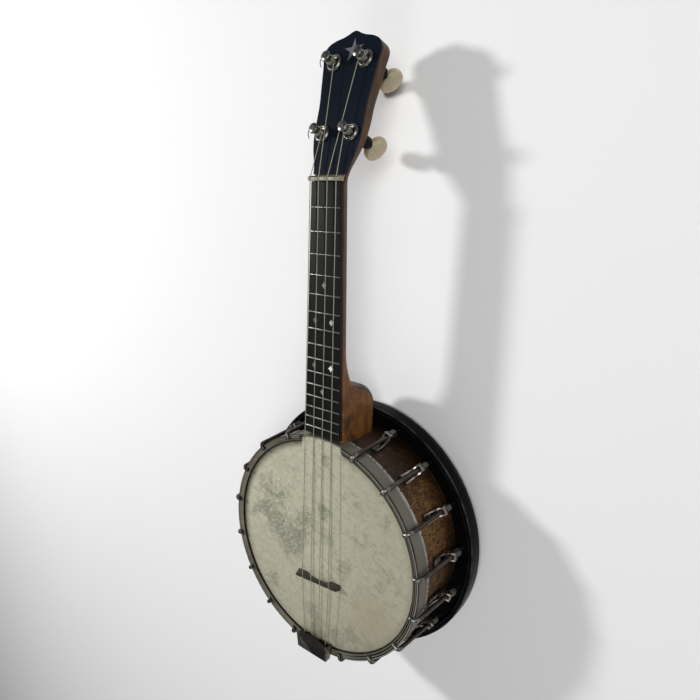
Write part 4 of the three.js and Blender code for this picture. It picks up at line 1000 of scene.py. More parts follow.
def make_resonator(sizes):
    """A lacquered dish: flat back, shallow dome, rounded edge, beaded lip and the seat for the rim."""
    edge, lip = RESONATOR_RADIUS, RESONATOR_RADIUS - sizes.resonator_wall
    top, floor, seat = RESONATOR_TOP, sizes.resonator_floor, 13.5 * MM
    flat, dome, bulge, side_bottom = 0.6 * edge, 3.4 * MM, 5.6 * MM, 8.6 * MM
    round_start = edge - bulge
    outline = [(0, 0), (flat, 0)]
    for step in range(1, 13):
        share = step / 12
        outline.append((flat + (round_start - flat) * share, dome * share * share))
    for step in range(1, 9):
        angle = step / 8 * math.pi / 2
        outline.append((round_start + bulge * math.sin(angle),
                        side_bottom + (dome - side_bottom) * math.cos(angle)))
    groove = edge - 0.25 * MM
    outline += [(edge, 9.1 * MM), (groove, 9.25 * MM), (groove, 9.7 * MM), (edge, 9.85 * MM)]
    outline += filleted([
        (edge, 12 * MM, 0),
        *near(edge, top, [(0, 0, 0.9), (-1.6, 0, 0.2), (-1.75, -0.45, 0.15), (-2.3, -0.45, 0.15),
                          (-2.45, 0, 0.2)]),
        (lip, top, 0.6 * MM), (lip - 1.2 * MM, seat, 1.2 * MM), (RIM_RADIUS - 13.4 * MM, seat, 0.5 * MM),
        (RIM_RADIUS - 14.6 * MM, floor, 1.5 * MM), (0, floor, 0)])
    dish = turned("resonator_shell", outline, steps=288)
    pin, pin_bottom, pin_top = 2.9 * MM, floor - 3 * MM, floor + 2 * MM
    hole = [(0, pin_bottom), (pin, pin_bottom), (pin, pin_top), (0, pin_top)]
    boolean(dish, turned("pin_hole", hole, steps=32))
    return tidy(dish)


def make_rim(sizes):
    """The wooden rim, rounded at its top, with the mortise for the stick and the hole for the tail bolt."""
    inner, shoulder = RIM_RADIUS - sizes.rim_wall, 2.3 * MM
    rim = turned("rim_shell", filleted([
        (inner, RIM_BOTTOM, 0.4 * MM), (RIM_RADIUS, RIM_BOTTOM, 0.4 * MM), (RIM_RADIUS, RIM_TOP, shoulder),
        (inner, RIM_TOP, 0.6 * MM)]))
    boolean(rim, block("mortise", (SOCKET_WIDTH, 3 * sizes.rim_wall, SOCKET_WIDTH),
                       (0, RIM_RADIUS - sizes.rim_wall / 2, DOWEL_MIDDLE)))
    start, end = -RIM_RADIUS - 2 * MM, -inner + 2 * MM
    boolean(rim, swept("bolt_hole", [(0, start, DOWEL_MIDDLE), (0, end, DOWEL_MIDDLE)], 2.5 * MM, 24))
    return tidy(rim)


def make_head(sizes):
    """The skin: flat over the rim, a rounded shoulder and a collar down to the flesh hoop."""
    skin, shoulder = sizes.head_thickness, 2.8 * MM
    outer, inner = HEAD_RADIUS, HEAD_RADIUS - skin
    outline = [(0, HEAD_TOP), (outer * 0.5, HEAD_TOP), (outer - shoulder - 4 * MM, HEAD_TOP)]
    outline += filleted([
        (outer - shoulder - 2 * MM, HEAD_TOP, 0), (outer, HEAD_TOP, shoulder), (outer, BAND_BOTTOM, 0),
        (inner, BAND_BOTTOM, 0), (inner, HEAD_TOP - skin, shoulder - skin), (0, HEAD_TOP - skin, 0)], 8)
    return turned("skin_head", outline)


def make_flesh_hoop():
    """The ring that the skin is lapped round, rounded on its outer side."""
    inner, outer = FLESH_HIGH.x - 2.4 * MM, FLESH_HIGH.x
    return turned("flesh_ring", filleted([
        (inner, FLESH_LOW.z, 0.2 * MM), (outer, FLESH_LOW.z, 0.7 * MM), (outer, FLESH_HIGH.z, 0.7 * MM),
        (inner, FLESH_HIGH.z, 0.2 * MM)]))


def make_crimps():
    """Small dark crimp marks along the middle of the flesh hoop."""
    size = 0.78 * MM
    reach = FLESH_HIGH.x - 0.12 * MM
    mark = turned("crimp_marks", [(0, -size * 0.4), (size, -size * 0.4), (size * 0.8, size * 0.4),
                                  (0, size * 0.6)], steps=8)
    moved(mark, Matrix.Translation((0, reach, (FLESH_LOW.z + FLESH_HIGH.z) / 2))
          @ Matrix.Rotation(-math.pi / 2, 4, "X"))
    return crimp_repeat().run(mark, {
        "Marks": 170, "Kept": 0.55, "Seed": 4, "Material": finish("dark_metal")})


def make_tension_hoop(sizes):
    """A deep band with an outer bead and a slanting inner lip, notched for the hooks and the fingerboard."""
    outer, inner = HOOP_RADIUS, HOOP_RADIUS - sizes.band_thickness
    bead = outer - sizes.bead_width
    bottom, top, under = BAND_BOTTOM, BEAD_TOP, BEAD_TOP - 2.6 * MM
    hoop = turned("hoop_band", filleted([
        (inner, bottom, 0.2 * MM), *near(outer, bottom, [(0, 0, 0.3), (0, 1.1, 0.15), (-0.25, 1.35, 0.15)]),
        *near(outer, top, [(-0.25, -2.2, 0.15), (0, -1.9, 0.2), (0, 0, 0.6), (-1.4, 0, 0.5),
                           (-1.7, -0.75, 0.15), (-2.1, -0.8, 0.15), (-2.4, -0.35, 0.3)]),
        *near(bead, top, [(1.0, -1.75, 0.6), (0, -2.0, 0.4)]), (bead, under, 0.2 * MM),
        (inner, under, 0.2 * MM)], 4), steps=288)
    line, floor = HookLine(sizes), top - HOOK_SEAT
    centre, low, slope = line.leg - line.bend, line.leg_top, line.bend - line.rod - SEAM
    notch = across_x("notch", [
        (bead - 2 * MM, floor), (centre, low + slope), (centre + slope, low), (outer + 2 * MM, low),
        (outer + 2 * MM, top + 2 * MM), (bead - 2 * MM, top + 2 * MM)], 2 * (line.rod + 0.45 * MM))
    boolean(hoop, round_pot(notch, sizes, "hoop_metal"))
    notch_bottom, notch_width = HEAD_TOP + SEAM / 2, BOARD_HIGH.x - BOARD_LOW.x + 8.4 * MM
    boolean(hoop, block("board_notch", (notch_width, outer, top - notch_bottom + 2 * MM),
                        (0, outer, (top + notch_bottom) / 2 + MM)))
    return bevelled(tidy(hoop), 0.18 * MM, 2, math.radians(50))


# Hooks and shoes, made on the +Y side

HOOK_LEAN = 4.2 * MM
NUT_LENGTH = 7.6 * MM
# Depth of the notches that the hooks sit in, and how far a hook's bend radius exceeds its rod's
HOOK_SEAT, HOOK_BEND = 1.6 * MM, 1.3 * MM


class HookLine:
    """Where a hook runs: its bend, its leg's top and how its leg leans out."""

    def __init__(self, sizes):
        self.rod = sizes.hook_radius
        self.bend = self.rod + HOOK_BEND
        self.height = BEAD_TOP - HOOK_SEAT + SEAM + self.rod
        self.leg = HOOP_RADIUS + SEAM + self.rod
        self.leg_top = self.height - self.bend
        self.end = THREAD_END
        self.lean = math.atan2(HOOK_LEAN, self.leg_top - self.end)

    def radius_at(self, height):
        return self.leg + HOOK_LEAN * (self.leg_top - height) / (self.leg_top - self.end)


def make_hooks(sizes):
    """The hooks: rods bent over the bead, each with a rounded tip and a threaded end."""
    line = HookLine(sizes)
    path = [(0, line.leg - 6.8 * MM + line.rod, line.height)]
    for step in range(11):
        angle = math.pi / 2 * (1 - step / 10)
        path.append((0, line.leg - line.bend + line.bend * math.cos(angle),
                     line.leg_top + line.bend * math.sin(angle)))
    thread_top = SHOE_BOTTOM - NUT_LENGTH
    path.append((0, line.radius_at(thread_top), thread_top))
    rod = swept("rod", path, line.rod, 16, round_ends=True)
    ridges, turns = [], 11
    pitch = (thread_top - line.end) / turns
    for turn in range(turns):
        ridges.append((line.rod - 0.15 * MM, -pitch * (turn + 0.25)))
        ridges.append((line.rod - 0.55 * MM, -pitch * (turn + 0.75)))
    thread = turned("thread", [(0, MM), (line.rod - 0.4 * MM, MM), *ridges,
                               (line.rod - 0.8 * MM, -pitch * turns), (0, -pitch * turns)], steps=14)
    moved(thread, Matrix.Translation((0, line.radius_at(thread_top), thread_top))
          @ Matrix.Rotation(line.lean, 4, "X"))
    return round_pot(joined("tension_hooks", [rod, thread]), sizes, "hook_metal")


def make_nuts(sizes):
    """The hexagonal nuts under the shoes, chamfered at both ends."""
    line = HookLine(sizes)
    radius, half, chamfer = 3.9 * MM, NUT_LENGTH / 2, 0.55 * MM
    body = turned("hex", [(0, -half), (radius - chamfer, -half), (radius, -half + chamfer),
                          (radius, half - chamfer), (radius - chamfer, half), (0, half)], steps=6)
    collar = turned("collar", filleted([(0, half - 0.2 * MM, 0), (radius * 0.98, half - 0.2 * MM, 0.1 * MM),
                                        (radius * 0.98, half, 0.1 * MM), (0, half, 0)]), steps=24)
    nut = joined("hook_nuts", [bevelled(body, 0.25 * MM), collar])
    middle = SHOE_BOTTOM - SEAM - half
    moved(nut, Matrix.Translation((0, line.radius_at(middle), middle)) @ Matrix.Rotation(line.lean, 4, "X"))
    return round_pot(nut, sizes, "hook_metal")


def flared(name, foot, mouth, bottom, inner, outer):
    """A wedge whose sides spread from the foot's width to the mouth's, between two radii."""
    sections = []
    for y in (inner, outer):
        sections.append([(-foot / 2, y, bottom), (foot / 2, y, bottom), (mouth / 2, y, SHOE_TOP),
                         (-mouth / 2, y, SHOE_TOP)])
    return lofted(name, sections)


def curve(start, bend, end, steps=14):
    """Points of a curve that leaves start towards bend and arrives at end from it."""
    points = []
    for step in range(steps + 1):
        share = step / steps
        points.append(start * (1 - share) ** 2 + bend * 2 * share * (1 - share) + end * share ** 2)
    return [tuple(point) for point in points]


def make_shoes(sizes):
    """The shoes: brackets whose cheeks spread from the rim to a thick end wall round the hook."""
    line = HookLine(sizes)
    wall, end_wall, tip, foot_margin, mouth = 1.6 * MM, 3.6 * MM, 2.4 * MM, 1.3 * MM, 8.8 * MM
    base = RIM_RADIUS + SEAM
    hole = line.rod + 0.55 * MM
    reach = line.radius_at(SHOE_BOTTOM) + hole + 0.85 * MM
    slot = 2 * (line.rod + 0.35 * MM)
    start, end = Vector((reach, SHOE_BOTTOM + end_wall)), Vector((base + tip, SHOE_TOP))
    bend = Vector((blend(end.x, start.x, 0.04), blend(SHOE_BOTTOM, SHOE_TOP, 0.22)))
    seat = curve(Vector((base, SHOE_BOTTOM + 10.5 * MM)), Vector((base, SHOE_BOTTOM)),
                 Vector((base + 3.8 * MM, SHOE_BOTTOM)), 8)
    outline = seat + [(reach, SHOE_BOTTOM)] + curve(start, bend, end) + [(base, SHOE_TOP)]
    shoe = across_x("mount_shoes", outline, mouth)
    sides = flared("sides", slot + 2 * foot_margin, mouth, SHOE_BOTTOM, base - MM, reach + MM)
    boolean(shoe, sides, "INTERSECT")
    channel = flared("channel", slot, mouth - 2 * wall, SHOE_BOTTOM + end_wall, base + wall, reach + 2 * MM)
    boolean(shoe, channel)
    boolean(shoe, swept("hook_hole", [
        (0, line.radius_at(SHOE_BOTTOM - MM), SHOE_BOTTOM - MM),
        (0, line.radius_at(SHOE_BOTTOM + 5 * MM), SHOE_BOTTOM + 5 * MM)], hole, 24))
    bevelled(tidy(shoe), 0.7 * MM, 4, math.radians(35))
    head = turned("screw_head", filleted([
        (0, 0, 0), (1.7 * MM, 0, 0), (1.6 * MM, 0.8 * MM, 0.6 * MM), (0, 1.0 * MM, 0)]), steps=20)
    moved(head, Matrix.Translation((0, base + wall, blend(SHOE_BOTTOM, SHOE_TOP, 0.62)))
          @ Matrix.Rotation(-math.pi / 2, 4, "X"))
    return round_pot(tidy(joined("mount_shoes", [shoe, head])), sizes, "shoe_metal")


# Neck

BRIDGE_MIDDLE = -0.3215 * RIM_RADIUS
BRIDGE_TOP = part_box("bridge")[1].z
NUT_FRONT = NUT_LOW.y
NUT_BACK = NUT_HIGH.y
BOARD_TOP = HEAD_TOP - 0.3 * MM
BOARD_BOTTOM = BOARD_LOW.z
NECK_TOP = BOARD_BOTTOM - SEAM
BOARD_END = BOARD_LOW.y
BOARD_TAPER = 0.0216
BOARD_HALF_NUT = 14.4 * MM
VENEER = 1.5 * MM
# Radius of the pegs' holes; the peghead's thickness at the nut, and how far along it is full
PEG_HOLE = 5.2 * MM
THROAT_THICKNESS, THROAT_LENGTH = 9 * MM, 70 * MM


def board_half_width(y):
    """Half the fingerboard's width at y."""
    return BOARD_HALF_NUT + BOARD_TAPER * (NUT_FRONT - y)


def smooth_share(value, low, high):
    share = min(max((value - low) / (high - low), 0), 1)
    return share * share * (3 - 2 * share)


def along_table(table, value):
    """Reads a table of (place, value) pairs by a smooth curve through its points."""
    places = [row[0] for row in table]
    if value <= places[0]:
        return table[0][1]
    if value >= places[-1]:
        return table[-1][1]
    i = max(k for k in range(len(places)) if places[k] <= value)
    i = min(i, len(table) - 2)

    def slope(k):
        low, high = max(k - 1, 0), min(k + 1, len(table) - 1)
        return (table[high][1] - table[low][1]) / (places[high] - places[low])

    span = places[i + 1] - places[i]
    share = (value - places[i]) / span
    a, b = table[i][1], table[i + 1][1]
    h00 = 2 * share ** 3 - 3 * share ** 2 + 1
    h10 = share ** 3 - 2 * share ** 2 + share
    h01 = -2 * share ** 3 + 3 * share ** 2
    h11 = share ** 3 - share ** 2
    return h00 * a + h10 * span * slope(i) + h01 * b + h11 * span * slope(i + 1)


# Half width of the peghead along it, both as shares
PEGHEAD_SIDE_SHARES = [
    (-0.05, 0.57), (0, 0.58), (0.07, 0.62), (0.18, 0.75), (0.28, 0.82), (0.4, 0.828), (0.5, 0.828),
    (0.62, 0.878), (0.78, 0.952), (0.855, 1), (0.892, 0.96), (0.925, 0.84), (0.949, 0.62),
    (0.961, 0.4), (0.977, 0.22), (0.993, 0.1)]


def peghead_places():
    """Distances along the peghead, as shares, closer together towards its tip."""
    shares = [0.012 * step for step in range(72)]
    shares += [0.864 + 0.0035 * step for step in range(37)]
    return shares


def peghead_half(share, sizes):
    """Half the peghead's width at a share of its length."""
    return along_table(PEGHEAD_SIDE_SHARES, share) * sizes.peghead_half_width


def peghead_depth(sizes, distance):
    """Wood and veneer together at a distance along the peghead."""
    return blend(THROAT_THICKNESS, sizes.peghead_thickness, min(distance / THROAT_LENGTH, 1))


def on_peghead(sizes):
    """The peghead's own frame: its origin at the back of the nut, level with the board's underside."""
    return Matrix.Translation((0, NUT_BACK, BOARD_BOTTOM)) @ Matrix.Rotation(-sizes.peghead_tilt, 4, "X")


SHAFT_FULLNESS, HEEL_FULLNESS = 2.2, 12
HEEL_FLAT_START = RIM_RADIUS + 24 * MM
HEEL_CUSP = HEEL_FLAT_START + 23.5 * MM
SWEEP_START = HEEL_CUSP + 30 * MM
NECK_DEPTH_HEEL = 12.6 * MM
CUSP_DEPTH = NECK_DEPTH_HEEL + 10.4 * MM
HEEL_DEPTH = NECK_TOP - RIM_BOTTOM - 11 * MM
SWEEP_HEEL_SHARE, SWEEP_POWER, ROUND_POWER = 0.3, 2.6, 1.7


def neck_form(y, sizes):
    """(half width, depth, fullness, half width at the back) of the neck at y."""
    half = board_half_width(max(y, BOARD_END))
    if y >= SWEEP_START:
        share = (y - SWEEP_START) / (NUT_BACK - SWEEP_START)
        return half, blend(NECK_DEPTH_HEEL, sizes.depth, share), SHAFT_FULLNESS, half
    if y >= HEEL_CUSP:
        share = (SWEEP_START - y) / (SWEEP_START - HEEL_CUSP)
        fall = 1 - (1 - share ** SWEEP_POWER) ** (1 / SWEEP_POWER)
        depth, heel = blend(NECK_DEPTH_HEEL, CUSP_DEPTH, fall), share * share * SWEEP_HEEL_SHARE
    elif y >= HEEL_FLAT_START:
        share = (HEEL_CUSP - y) / (HEEL_CUSP - HEEL_FLAT_START)
        rise = (1 - (1 - share) ** ROUND_POWER) ** (1 / ROUND_POWER)
        depth, heel = blend(CUSP_DEPTH, HEEL_DEPTH, rise), blend(SWEEP_HEEL_SHARE, 1, math.sqrt(rise))
    else:
        depth, heel = HEEL_DEPTH, 1
    return half, depth, blend(SHAFT_FULLNESS, HEEL_FULLNESS, heel), blend(half, sizes.heel_half_width, heel)


BACK_STEPS = 48


def wood_section(half, depth, fullness, back_half):
    """(across, down) points of a section: a flat top over a rounded back."""
    points = []
    for step in range(BACK_STEPS + 1):
        angle = math.pi * step / BACK_STEPS
        across = math.copysign(abs(math.cos(angle)) ** (2 / fullness), math.cos(angle))
        down = math.sin(angle) ** (2 / fullness)
        points.append((blend(half, back_half, down) * across, depth * down))
    return points


def neck_sections(sizes):
    """Sections from the rim to the nut, with those of the heel close together."""
    places = [RIM_RADIUS - 9 * MM, RIM_RADIUS + 8 * MM, RIM_RADIUS + 16 * MM, HEEL_FLAT_START]
    for step in range(1, 25):
        places.append(blend(HEEL_FLAT_START, HEEL_CUSP, 1 - (1 - step / 24) ** 1.8))
    for step in range(1, 25):
        places.append(HEEL_CUSP + (SWEEP_START - HEEL_CUSP) * (step / 24) ** 1.7)
    for step in range(1, 13):
        places.append(blend(SWEEP_START, NUT_BACK - 6 * MM, step / 12))
    return [[(x, y, NECK_TOP - down) for x, down in wood_section(*neck_form(y, sizes))]
            for y in sorted(set(places))]


# How square the back of the peghead is along it, as shares
THROAT_SQUARE_SHARES = [(-0.06, 0.19), (0.02, 0.22), (0.11, 0.3), (0.22, 0.5), (0.32, 0.9), (0.4, 1.6)]


def peghead_sections(sizes):
    """Sections of the peghead's wood, from just past the nut to the tip."""
    place = on_peghead(sizes)
    top = VENEER + SEAM
    sections = []
    for share in peghead_places():
        along = share * sizes.peghead_length
        half = peghead_half(share, sizes)
        back = peghead_depth(sizes, along) - top
        fullness = along_table(THROAT_SQUARE_SHARES, share) * HEEL_FULLNESS
        flare = 1 - 0.06 * (1 - smooth_share(share, 0.0, 0.3))
        tilt = smooth_share(along, -6 * MM, 9 * MM)
        lean = Matrix.Rotation(sizes.peghead_tilt * (1 - tilt), 4, "X")
        ring = []
        for x, down in wood_section(half, back, fullness, half * flare):
            offset = lean @ Vector((0, 0, -down))
            ring.append(place @ (Vector((x, along, -top)) + offset))
        sections.append(ring)
    return sections


def drill_pegs(thing, depth):
    """Drills the pegs' holes, down to a depth in millimetres from the peghead's face."""
    for joint in frame["joints"]:
        at, axis = Vector(joint["pos_m"]), Vector(joint["axis"])
        boolean(thing, swept("drill", [at - axis * depth * MM, at + axis * 2 * MM], PEG_HOLE, 32))


def make_neck(sizes):
    """Neck, heel and peghead in one piece of wood, with the heel's cap marked by depth."""
    neck = lofted("neck_body", neck_sections(sizes) + peghead_sections(sizes), math.radians(40))
    band, rim = HOOP_RADIUS + SEAM, RIM_RADIUS + SEAM
    step_height = FLESH_LOW.z - SEAM
    low, high = -2 * MM, BOARD_TOP + 2 * MM
    boolean(neck, turned("pot_clearance", [
        (0, low), (rim, low), (rim, step_height), (band, step_height), (band, high), (0, high)]))
    boolean(neck, block("socket", (SOCKET_WIDTH, 28.6 * MM, SOCKET_WIDTH), (0, RIM_RADIUS, DOWEL_MIDDLE)))
    drill_pegs(neck, 14)
    tidy(neck, math.radians(40))
    mark_cap(neck, sizes)
    return neck


# Depth given to the wood beyond the heel
FAR_FROM_CAP = 1.0


def mark_cap(neck, sizes):
    """Stores each point's depth under the heel's outer line, which the wood's finish reads."""
    line = []
    for step in range(161):
        y = blend(RIM_RADIUS - 6 * MM, HEEL_CUSP - 0.2 * MM, step / 160)
        line.append(Vector((y, NECK_TOP - neck_form(y, sizes)[1])))
    line.append(Vector((HEEL_CUSP, NECK_TOP - CUSP_DEPTH)))
    depth = neck.data.attributes.new("cap_depth", "FLOAT", "POINT")
    values = []
    for vertex in neck.data.vertices:
        point = Vector((vertex.co.y, vertex.co.z))
        if point.x > HEEL_CUSP + 4 * MM:
            values.append(FAR_FROM_CAP)
            continue
        nearest = min((point - other).length for other in line)
        values.append(nearest if point.x <= HEEL_CUSP else nearest + sizes.heel_cap + 0.2 * MM)
    depth.data.foreach_set("value", values)


def make_board():
    """The fingerboard: a tapered plank with softened edges."""
    end, front = BOARD_END, NUT_FRONT - SEAM
    outline = [(-board_half_width(end), end), (board_half_width(end), end),
               (BOARD_HALF_NUT, front), (-BOARD_HALF_NUT, front)]
    return tidy(bevelled(plate("fretboard", outline, BOARD_BOTTOM, BOARD_TOP), 0.35 * MM, 3))


def make_frets(sizes):
    """The frets: rounded crowns of unit half width, repeated at the semitones."""
    half, height, sunk = 0.72 * MM, 0.9 * MM, -0.3 * MM
    crown = [(-half, sunk)]
    crown += [(half * math.sin(a), height * math.cos(a)) for a in
              [math.radians(-90 + 180 * step / 10) for step in range(11)]]
    crown.append((half, sunk))
    sections = []
    for x, size in ((-1, 0.55), (-0.97, 0.85), (-0.93, 1), (0.93, 1), (0.97, 0.85), (1, 0.55)):
        sections.append([(x, y, BOARD_TOP + z * (size if z > 0 else 1)) for y, z in crown])
    fret = lofted("frets", sections, math.radians(45))
    return fret_repeat().run(fret, {
        "Frets": sizes.frets, "Scale length": sizes.scale_length, "Nut": NUT_FRONT,
        "Half width": BOARD_HALF_NUT - SEAM, "Taper": BOARD_TAPER, "Material": finish("fret_metal")})


def fret_place(number, sizes):
    """Where a fret stands along Y."""
    return NUT_FRONT - sizes.scale_length * (1 - 2 ** (-number / 12))


def inlay_shape(kind, size):
    """A diamond, or a four-pointed star with hollow sides."""
    if kind == "diamond":
        return [(0, -size), (size * 0.85, 0), (0, size), (-size * 0.85, 0)]
    points = []
    for step in range(8):
        angle = math.pi / 4 * step
        reach = size if step % 2 == 0 else size * 0.52
        points.append((reach * math.cos(angle), reach * math.sin(angle)))
    return points


# Position marks: place between frets, x in millimetres, shape and reach in millimetres
MARKS = [
    (4.5, 0.1, "diamond", 2.7), (6.5, -8.8, "diamond", 2.7), (6.5, 8.0, "diamond", 2.6),
    (9.5, -9.5, "diamond", 2.7), (9.5, 8.4, "cross", 2.9), (11.5, -0.4, "diamond", 2.4)]


def make_inlays(sizes):
    """Position marks of pearl let into the board, a hair proud of it."""
    things = []
    for number, x, kind, size in MARKS:
        before, after = fret_place(math.floor(number), sizes), fret_place(math.ceil(number), sizes)
        middle = (before + after) / 2
        outline = [(x * MM + px, middle + py) for px, py in inlay_shape(kind, size * MM)]
        things.append(plate("mark", outline, BOARD_TOP - 0.5 * MM, BOARD_TOP + 0.05 * MM))
    return tidy(joined("position_marks", things))


def make_veneer(sizes):
    """The black veneer on the face of the peghead, behind the nut."""
    start = 1.8 * MM / sizes.peghead_length
    shares = [start] + [share for share in peghead_places() if share > start]
    right = [(peghead_half(share, sizes), share * sizes.peghead_length) for share in shares]
    outline = right + [(0, sizes.peghead_length)] + [(-x, y) for x, y in reversed(right)]
    veneer = plate("peghead_face", outline, -VENEER, 0)
    moved(veneer, on_peghead(sizes))
    drill_pegs(veneer, 3)
    return tidy(veneer, math.radians(25))


# The star's middle on the peghead, its outer and inner reach, and its lean in degrees
STAR_X, STAR_Y, STAR_REACH, STAR_LEAN = 1.5 * MM, 94 * MM, (9.2 * MM, 3.2 * MM), 3.5


def make_star(sizes):
    """A plain five-pointed star of pearl near the peghead's tip."""
    outline = []
    for step in range(10):
        angle = math.radians(90 + 36 * step + STAR_LEAN)
        reach = STAR_REACH[step % 2]
        outline.append((STAR_X + reach * math.cos(angle), STAR_Y + reach * math.sin(angle)))
    star = plate("peghead_star", outline, -0.6 * MM, 0.04 * MM)
    return tidy(moved(star, on_peghead(sizes)))


# Nut, bridge, tailpiece and stick, refined from the frame's own solids


def refined(node, name, bevel, segments=2):
    """A copy of a frame node with merged faces and softened edges."""
    source = frame["nodes"][node]
    thing = bpy.data.objects.new(name, source.data.copy())
    thing.data.name = name
    bpy.context.scene.collection.objects.link(thing)
    work = bmesh.new()
    work.from_mesh(thing.data)
    bmesh.ops.remove_doubles(work, verts=work.verts, dist=0.002 * MM)
    bmesh.ops.dissolve_limit(work, angle_limit=math.radians(1), verts=work.verts, edges=work.edges)
    work.to_mesh(thing.data)
    work.free()
    return tidy(bevelled(thing, bevel, segments), math.radians(35))


# Pegs


def make_bushing(name, place, depth):
    """A flanged sleeve let into the peghead, domed like a cup round the shank."""
    bore, sleeve, flange, height = 3.4 * MM, 4.9 * MM, 6.7 * MM, 2.5 * MM
    outline = filleted([
        (bore, -depth, 0.1 * MM), (sleeve, -depth, 0.1 * MM), (sleeve, SEAM, 0), (flange, SEAM, 0.3 * MM),
        (flange, 1.3 * MM, 0.9 * MM), (flange - 1.2 * MM, height, 0.8 * MM),
        (bore + 1.3 * MM, height, 0.5 * MM), (bore + 0.7 * MM, 1.7 * MM, 0.3 * MM),
        (bore, 1.6 * MM, 0.1 * MM)])
    return moved(turned(name, outline, steps=64), place)


def make_post(name, place, depth, stem_end, collar_end):
    """A peg's post: domed cap, waist, shank, long collar behind the peghead and stem."""
    shank, waist, stem, collar, cap = 3.1 * MM, POST_WAIST, 2.6 * MM, 4.8 * MM, 4.1 * MM
    cap_bottom, cap_top, foot = 9.8 * MM, 12.7 * MM, 3.7 * MM
    collar_top = -depth - SEAM
    outline = filleted([
        (0, stem_end, 0), (stem, stem_end, 0.3 * MM), (stem, collar_end, 0.2 * MM),
        (collar - 1.8 * MM, collar_end, 0.5 * MM), (collar, collar_end + 1.8 * MM, 1.2 * MM),
        (collar, collar_top - 1.4 * MM, 0.3 * MM), (collar - 0.5 * MM, collar_top - 1.1 * MM, 0.2 * MM),
        (collar - 0.5 * MM, collar_top, 0.2 * MM), (shank, collar_top, 0), (shank, foot - 0.6 * MM, 0.4 * MM),
        (waist, foot, 0.6 * MM), (waist, cap_bottom, 0.6 * MM), (cap, cap_bottom + MM, 0.6 * MM),
        (cap, cap_top - 0.7 * MM, 1.2 * MM), (cap * 0.5, cap_top, 1.6 * MM), (0, cap_top, 0)])
    post = turned(name, outline, steps=48)
    hole = cap_bottom - 0.7 * MM
    boolean(post, swept("hole", [(0, -6 * MM, hole), (0, 6 * MM, hole)], 0.7 * MM, 12))
    return moved(tidy(post, math.radians(40)), place)


def make_button(name, place, drop, turn):
    """A peg's button: a rounded oval of pearloid with a bore for the stem."""
    width, height, thickness = 20.4 * MM, 18 * MM, 7 * MM
    sections = []
    rows = 14
    for row in range(rows + 1):
        angle = -math.pi / 2 + math.pi * row / rows
        y = math.sin(angle) * thickness / 2
        inset = 2.6 * MM * (1 - math.cos(angle) ** 0.75)
        belly = max(0.0, 1 - abs(math.sin(angle)) ** 6)
        ring = []
        for step in range(64):
            around = 2 * math.pi * step / 64
            size = 1 if 0 < row < rows else 0.94
            ring.append(((width / 2 - inset) * size * math.cos(around), y * (0.94 + 0.06 * belly),
                         (height / 2 - inset) * size * math.sin(around)))
        sections.append(ring)
    button = lofted(name, sections, math.radians(50))
    boolean(button, swept("bore", [(0, 0, height / 2 - 7.3 * MM), (0, 0, height / 2 + 2 * MM)], 2.9 * MM, 32))
    tidy(button, math.radians(50))
    return moved(button, place @ Matrix.Translation((0, 0, -drop)) @ Matrix.Rotation(turn, 4, "Z"))


# From the peghead's back to a button's middle, half its height, how deep the stem sits in it, and the gap
# between it and the collar
BUTTON_REACH, BUTTON_HALF, STEM_DEPTH, COLLAR_GAP = 21.5 * MM, 9 * MM, 7 * MM, 0.8 * MM
# Angle in degrees that each button stands at
PEG_TURNS = {"upper_left": 15, "upper_right": 40, "lower_left": -30, "lower_right": 48}


def peg_place(joint, sizes):
    """A peg's frame: its origin on the face of the peghead, its Z along the peg."""
    return Matrix.Translation(joint["pos_m"]) @ Matrix.Rotation(-sizes.peghead_tilt, 4, "X")


# Strings

STRING_TURNS, TURN_STEPS, WINDING_PITCH = 2, 40, 1.45 * MM
WINDING_START, POST_WAIST = 4.6 * MM, 2.5 * MM
# From one string to the next at the comb, the bridge and the nut
COMB_SPACING, BRIDGE_SPACING, NUT_SPACING = 24.6 * MM / 3, 30.9 * MM / 3, 25.6 * MM / 3
BRIDGE_SKEW = math.tan(math.radians(4.5))
STRINGS = {"lower_left": 0, "upper_left": 1, "upper_right": 2, "lower_right": 3}


def string_route(joint, name, sizes):
    """A string's line: comb, bridge, nut, then rising turns round its post."""
    index, side = STRINGS[name], math.copysign(1, joint["pos_m"][0])
    tail_x, bridge_x, nut_x = (
        (index - 1.5) * spacing for spacing in (COMB_SPACING, BRIDGE_SPACING, NUT_SPACING))
    bridge_z, nut_z = BRIDGE_TOP - 0.3 * MM, BOARD_TOP + 3 * MM
    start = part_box("string_%d" % (index + 1))[0].y
    frame_of = on_peghead(sizes)
    nut_edge = Vector((nut_x, NUT_BACK - (NUT_BACK - NUT_FRONT) / 3, nut_z))
    from_nut = frame_of.inverted() @ nut_edge
    centre = frame_of.inverted() @ Vector(joint["pos_m"])
    radius = POST_WAIST + sizes.string_radius + SEAM
    away = Vector((from_nut.x - centre.x, from_nut.y - centre.y))
    first = math.atan2(away.y, away.x) - side * math.acos(radius / away.length)
    winding = []
    for step in range(STRING_TURNS * TURN_STEPS + 1):
        turn = step / TURN_STEPS
        angle = first - side * turn * 2 * math.pi
        winding.append(frame_of @ Vector((
            centre.x + radius * math.cos(angle), centre.y + radius * math.sin(angle),
            WINDING_START + WINDING_PITCH * turn)))
    return [
        Vector((tail_x, start, bridge_z - 0.8 * MM)),
        Vector((bridge_x, BRIDGE_MIDDLE + bridge_x * BRIDGE_SKEW, bridge_z)),
        Vector((nut_x, NUT_FRONT, nut_z)),
        nut_edge,
        *winding,
    ]


# A string's cut end from its post, in millimetres
STRING_END_PATH = [(2.0, 0.2, 9.1), (3.6, 0.2, 9.2), (5.0, -0.3, 9.6), (5.8, -1.6, 9.8), (6.0, -3.2, 9.5),
                   (5.7, -4.8, 9.0), (5.2, -6.2, 8.4)]


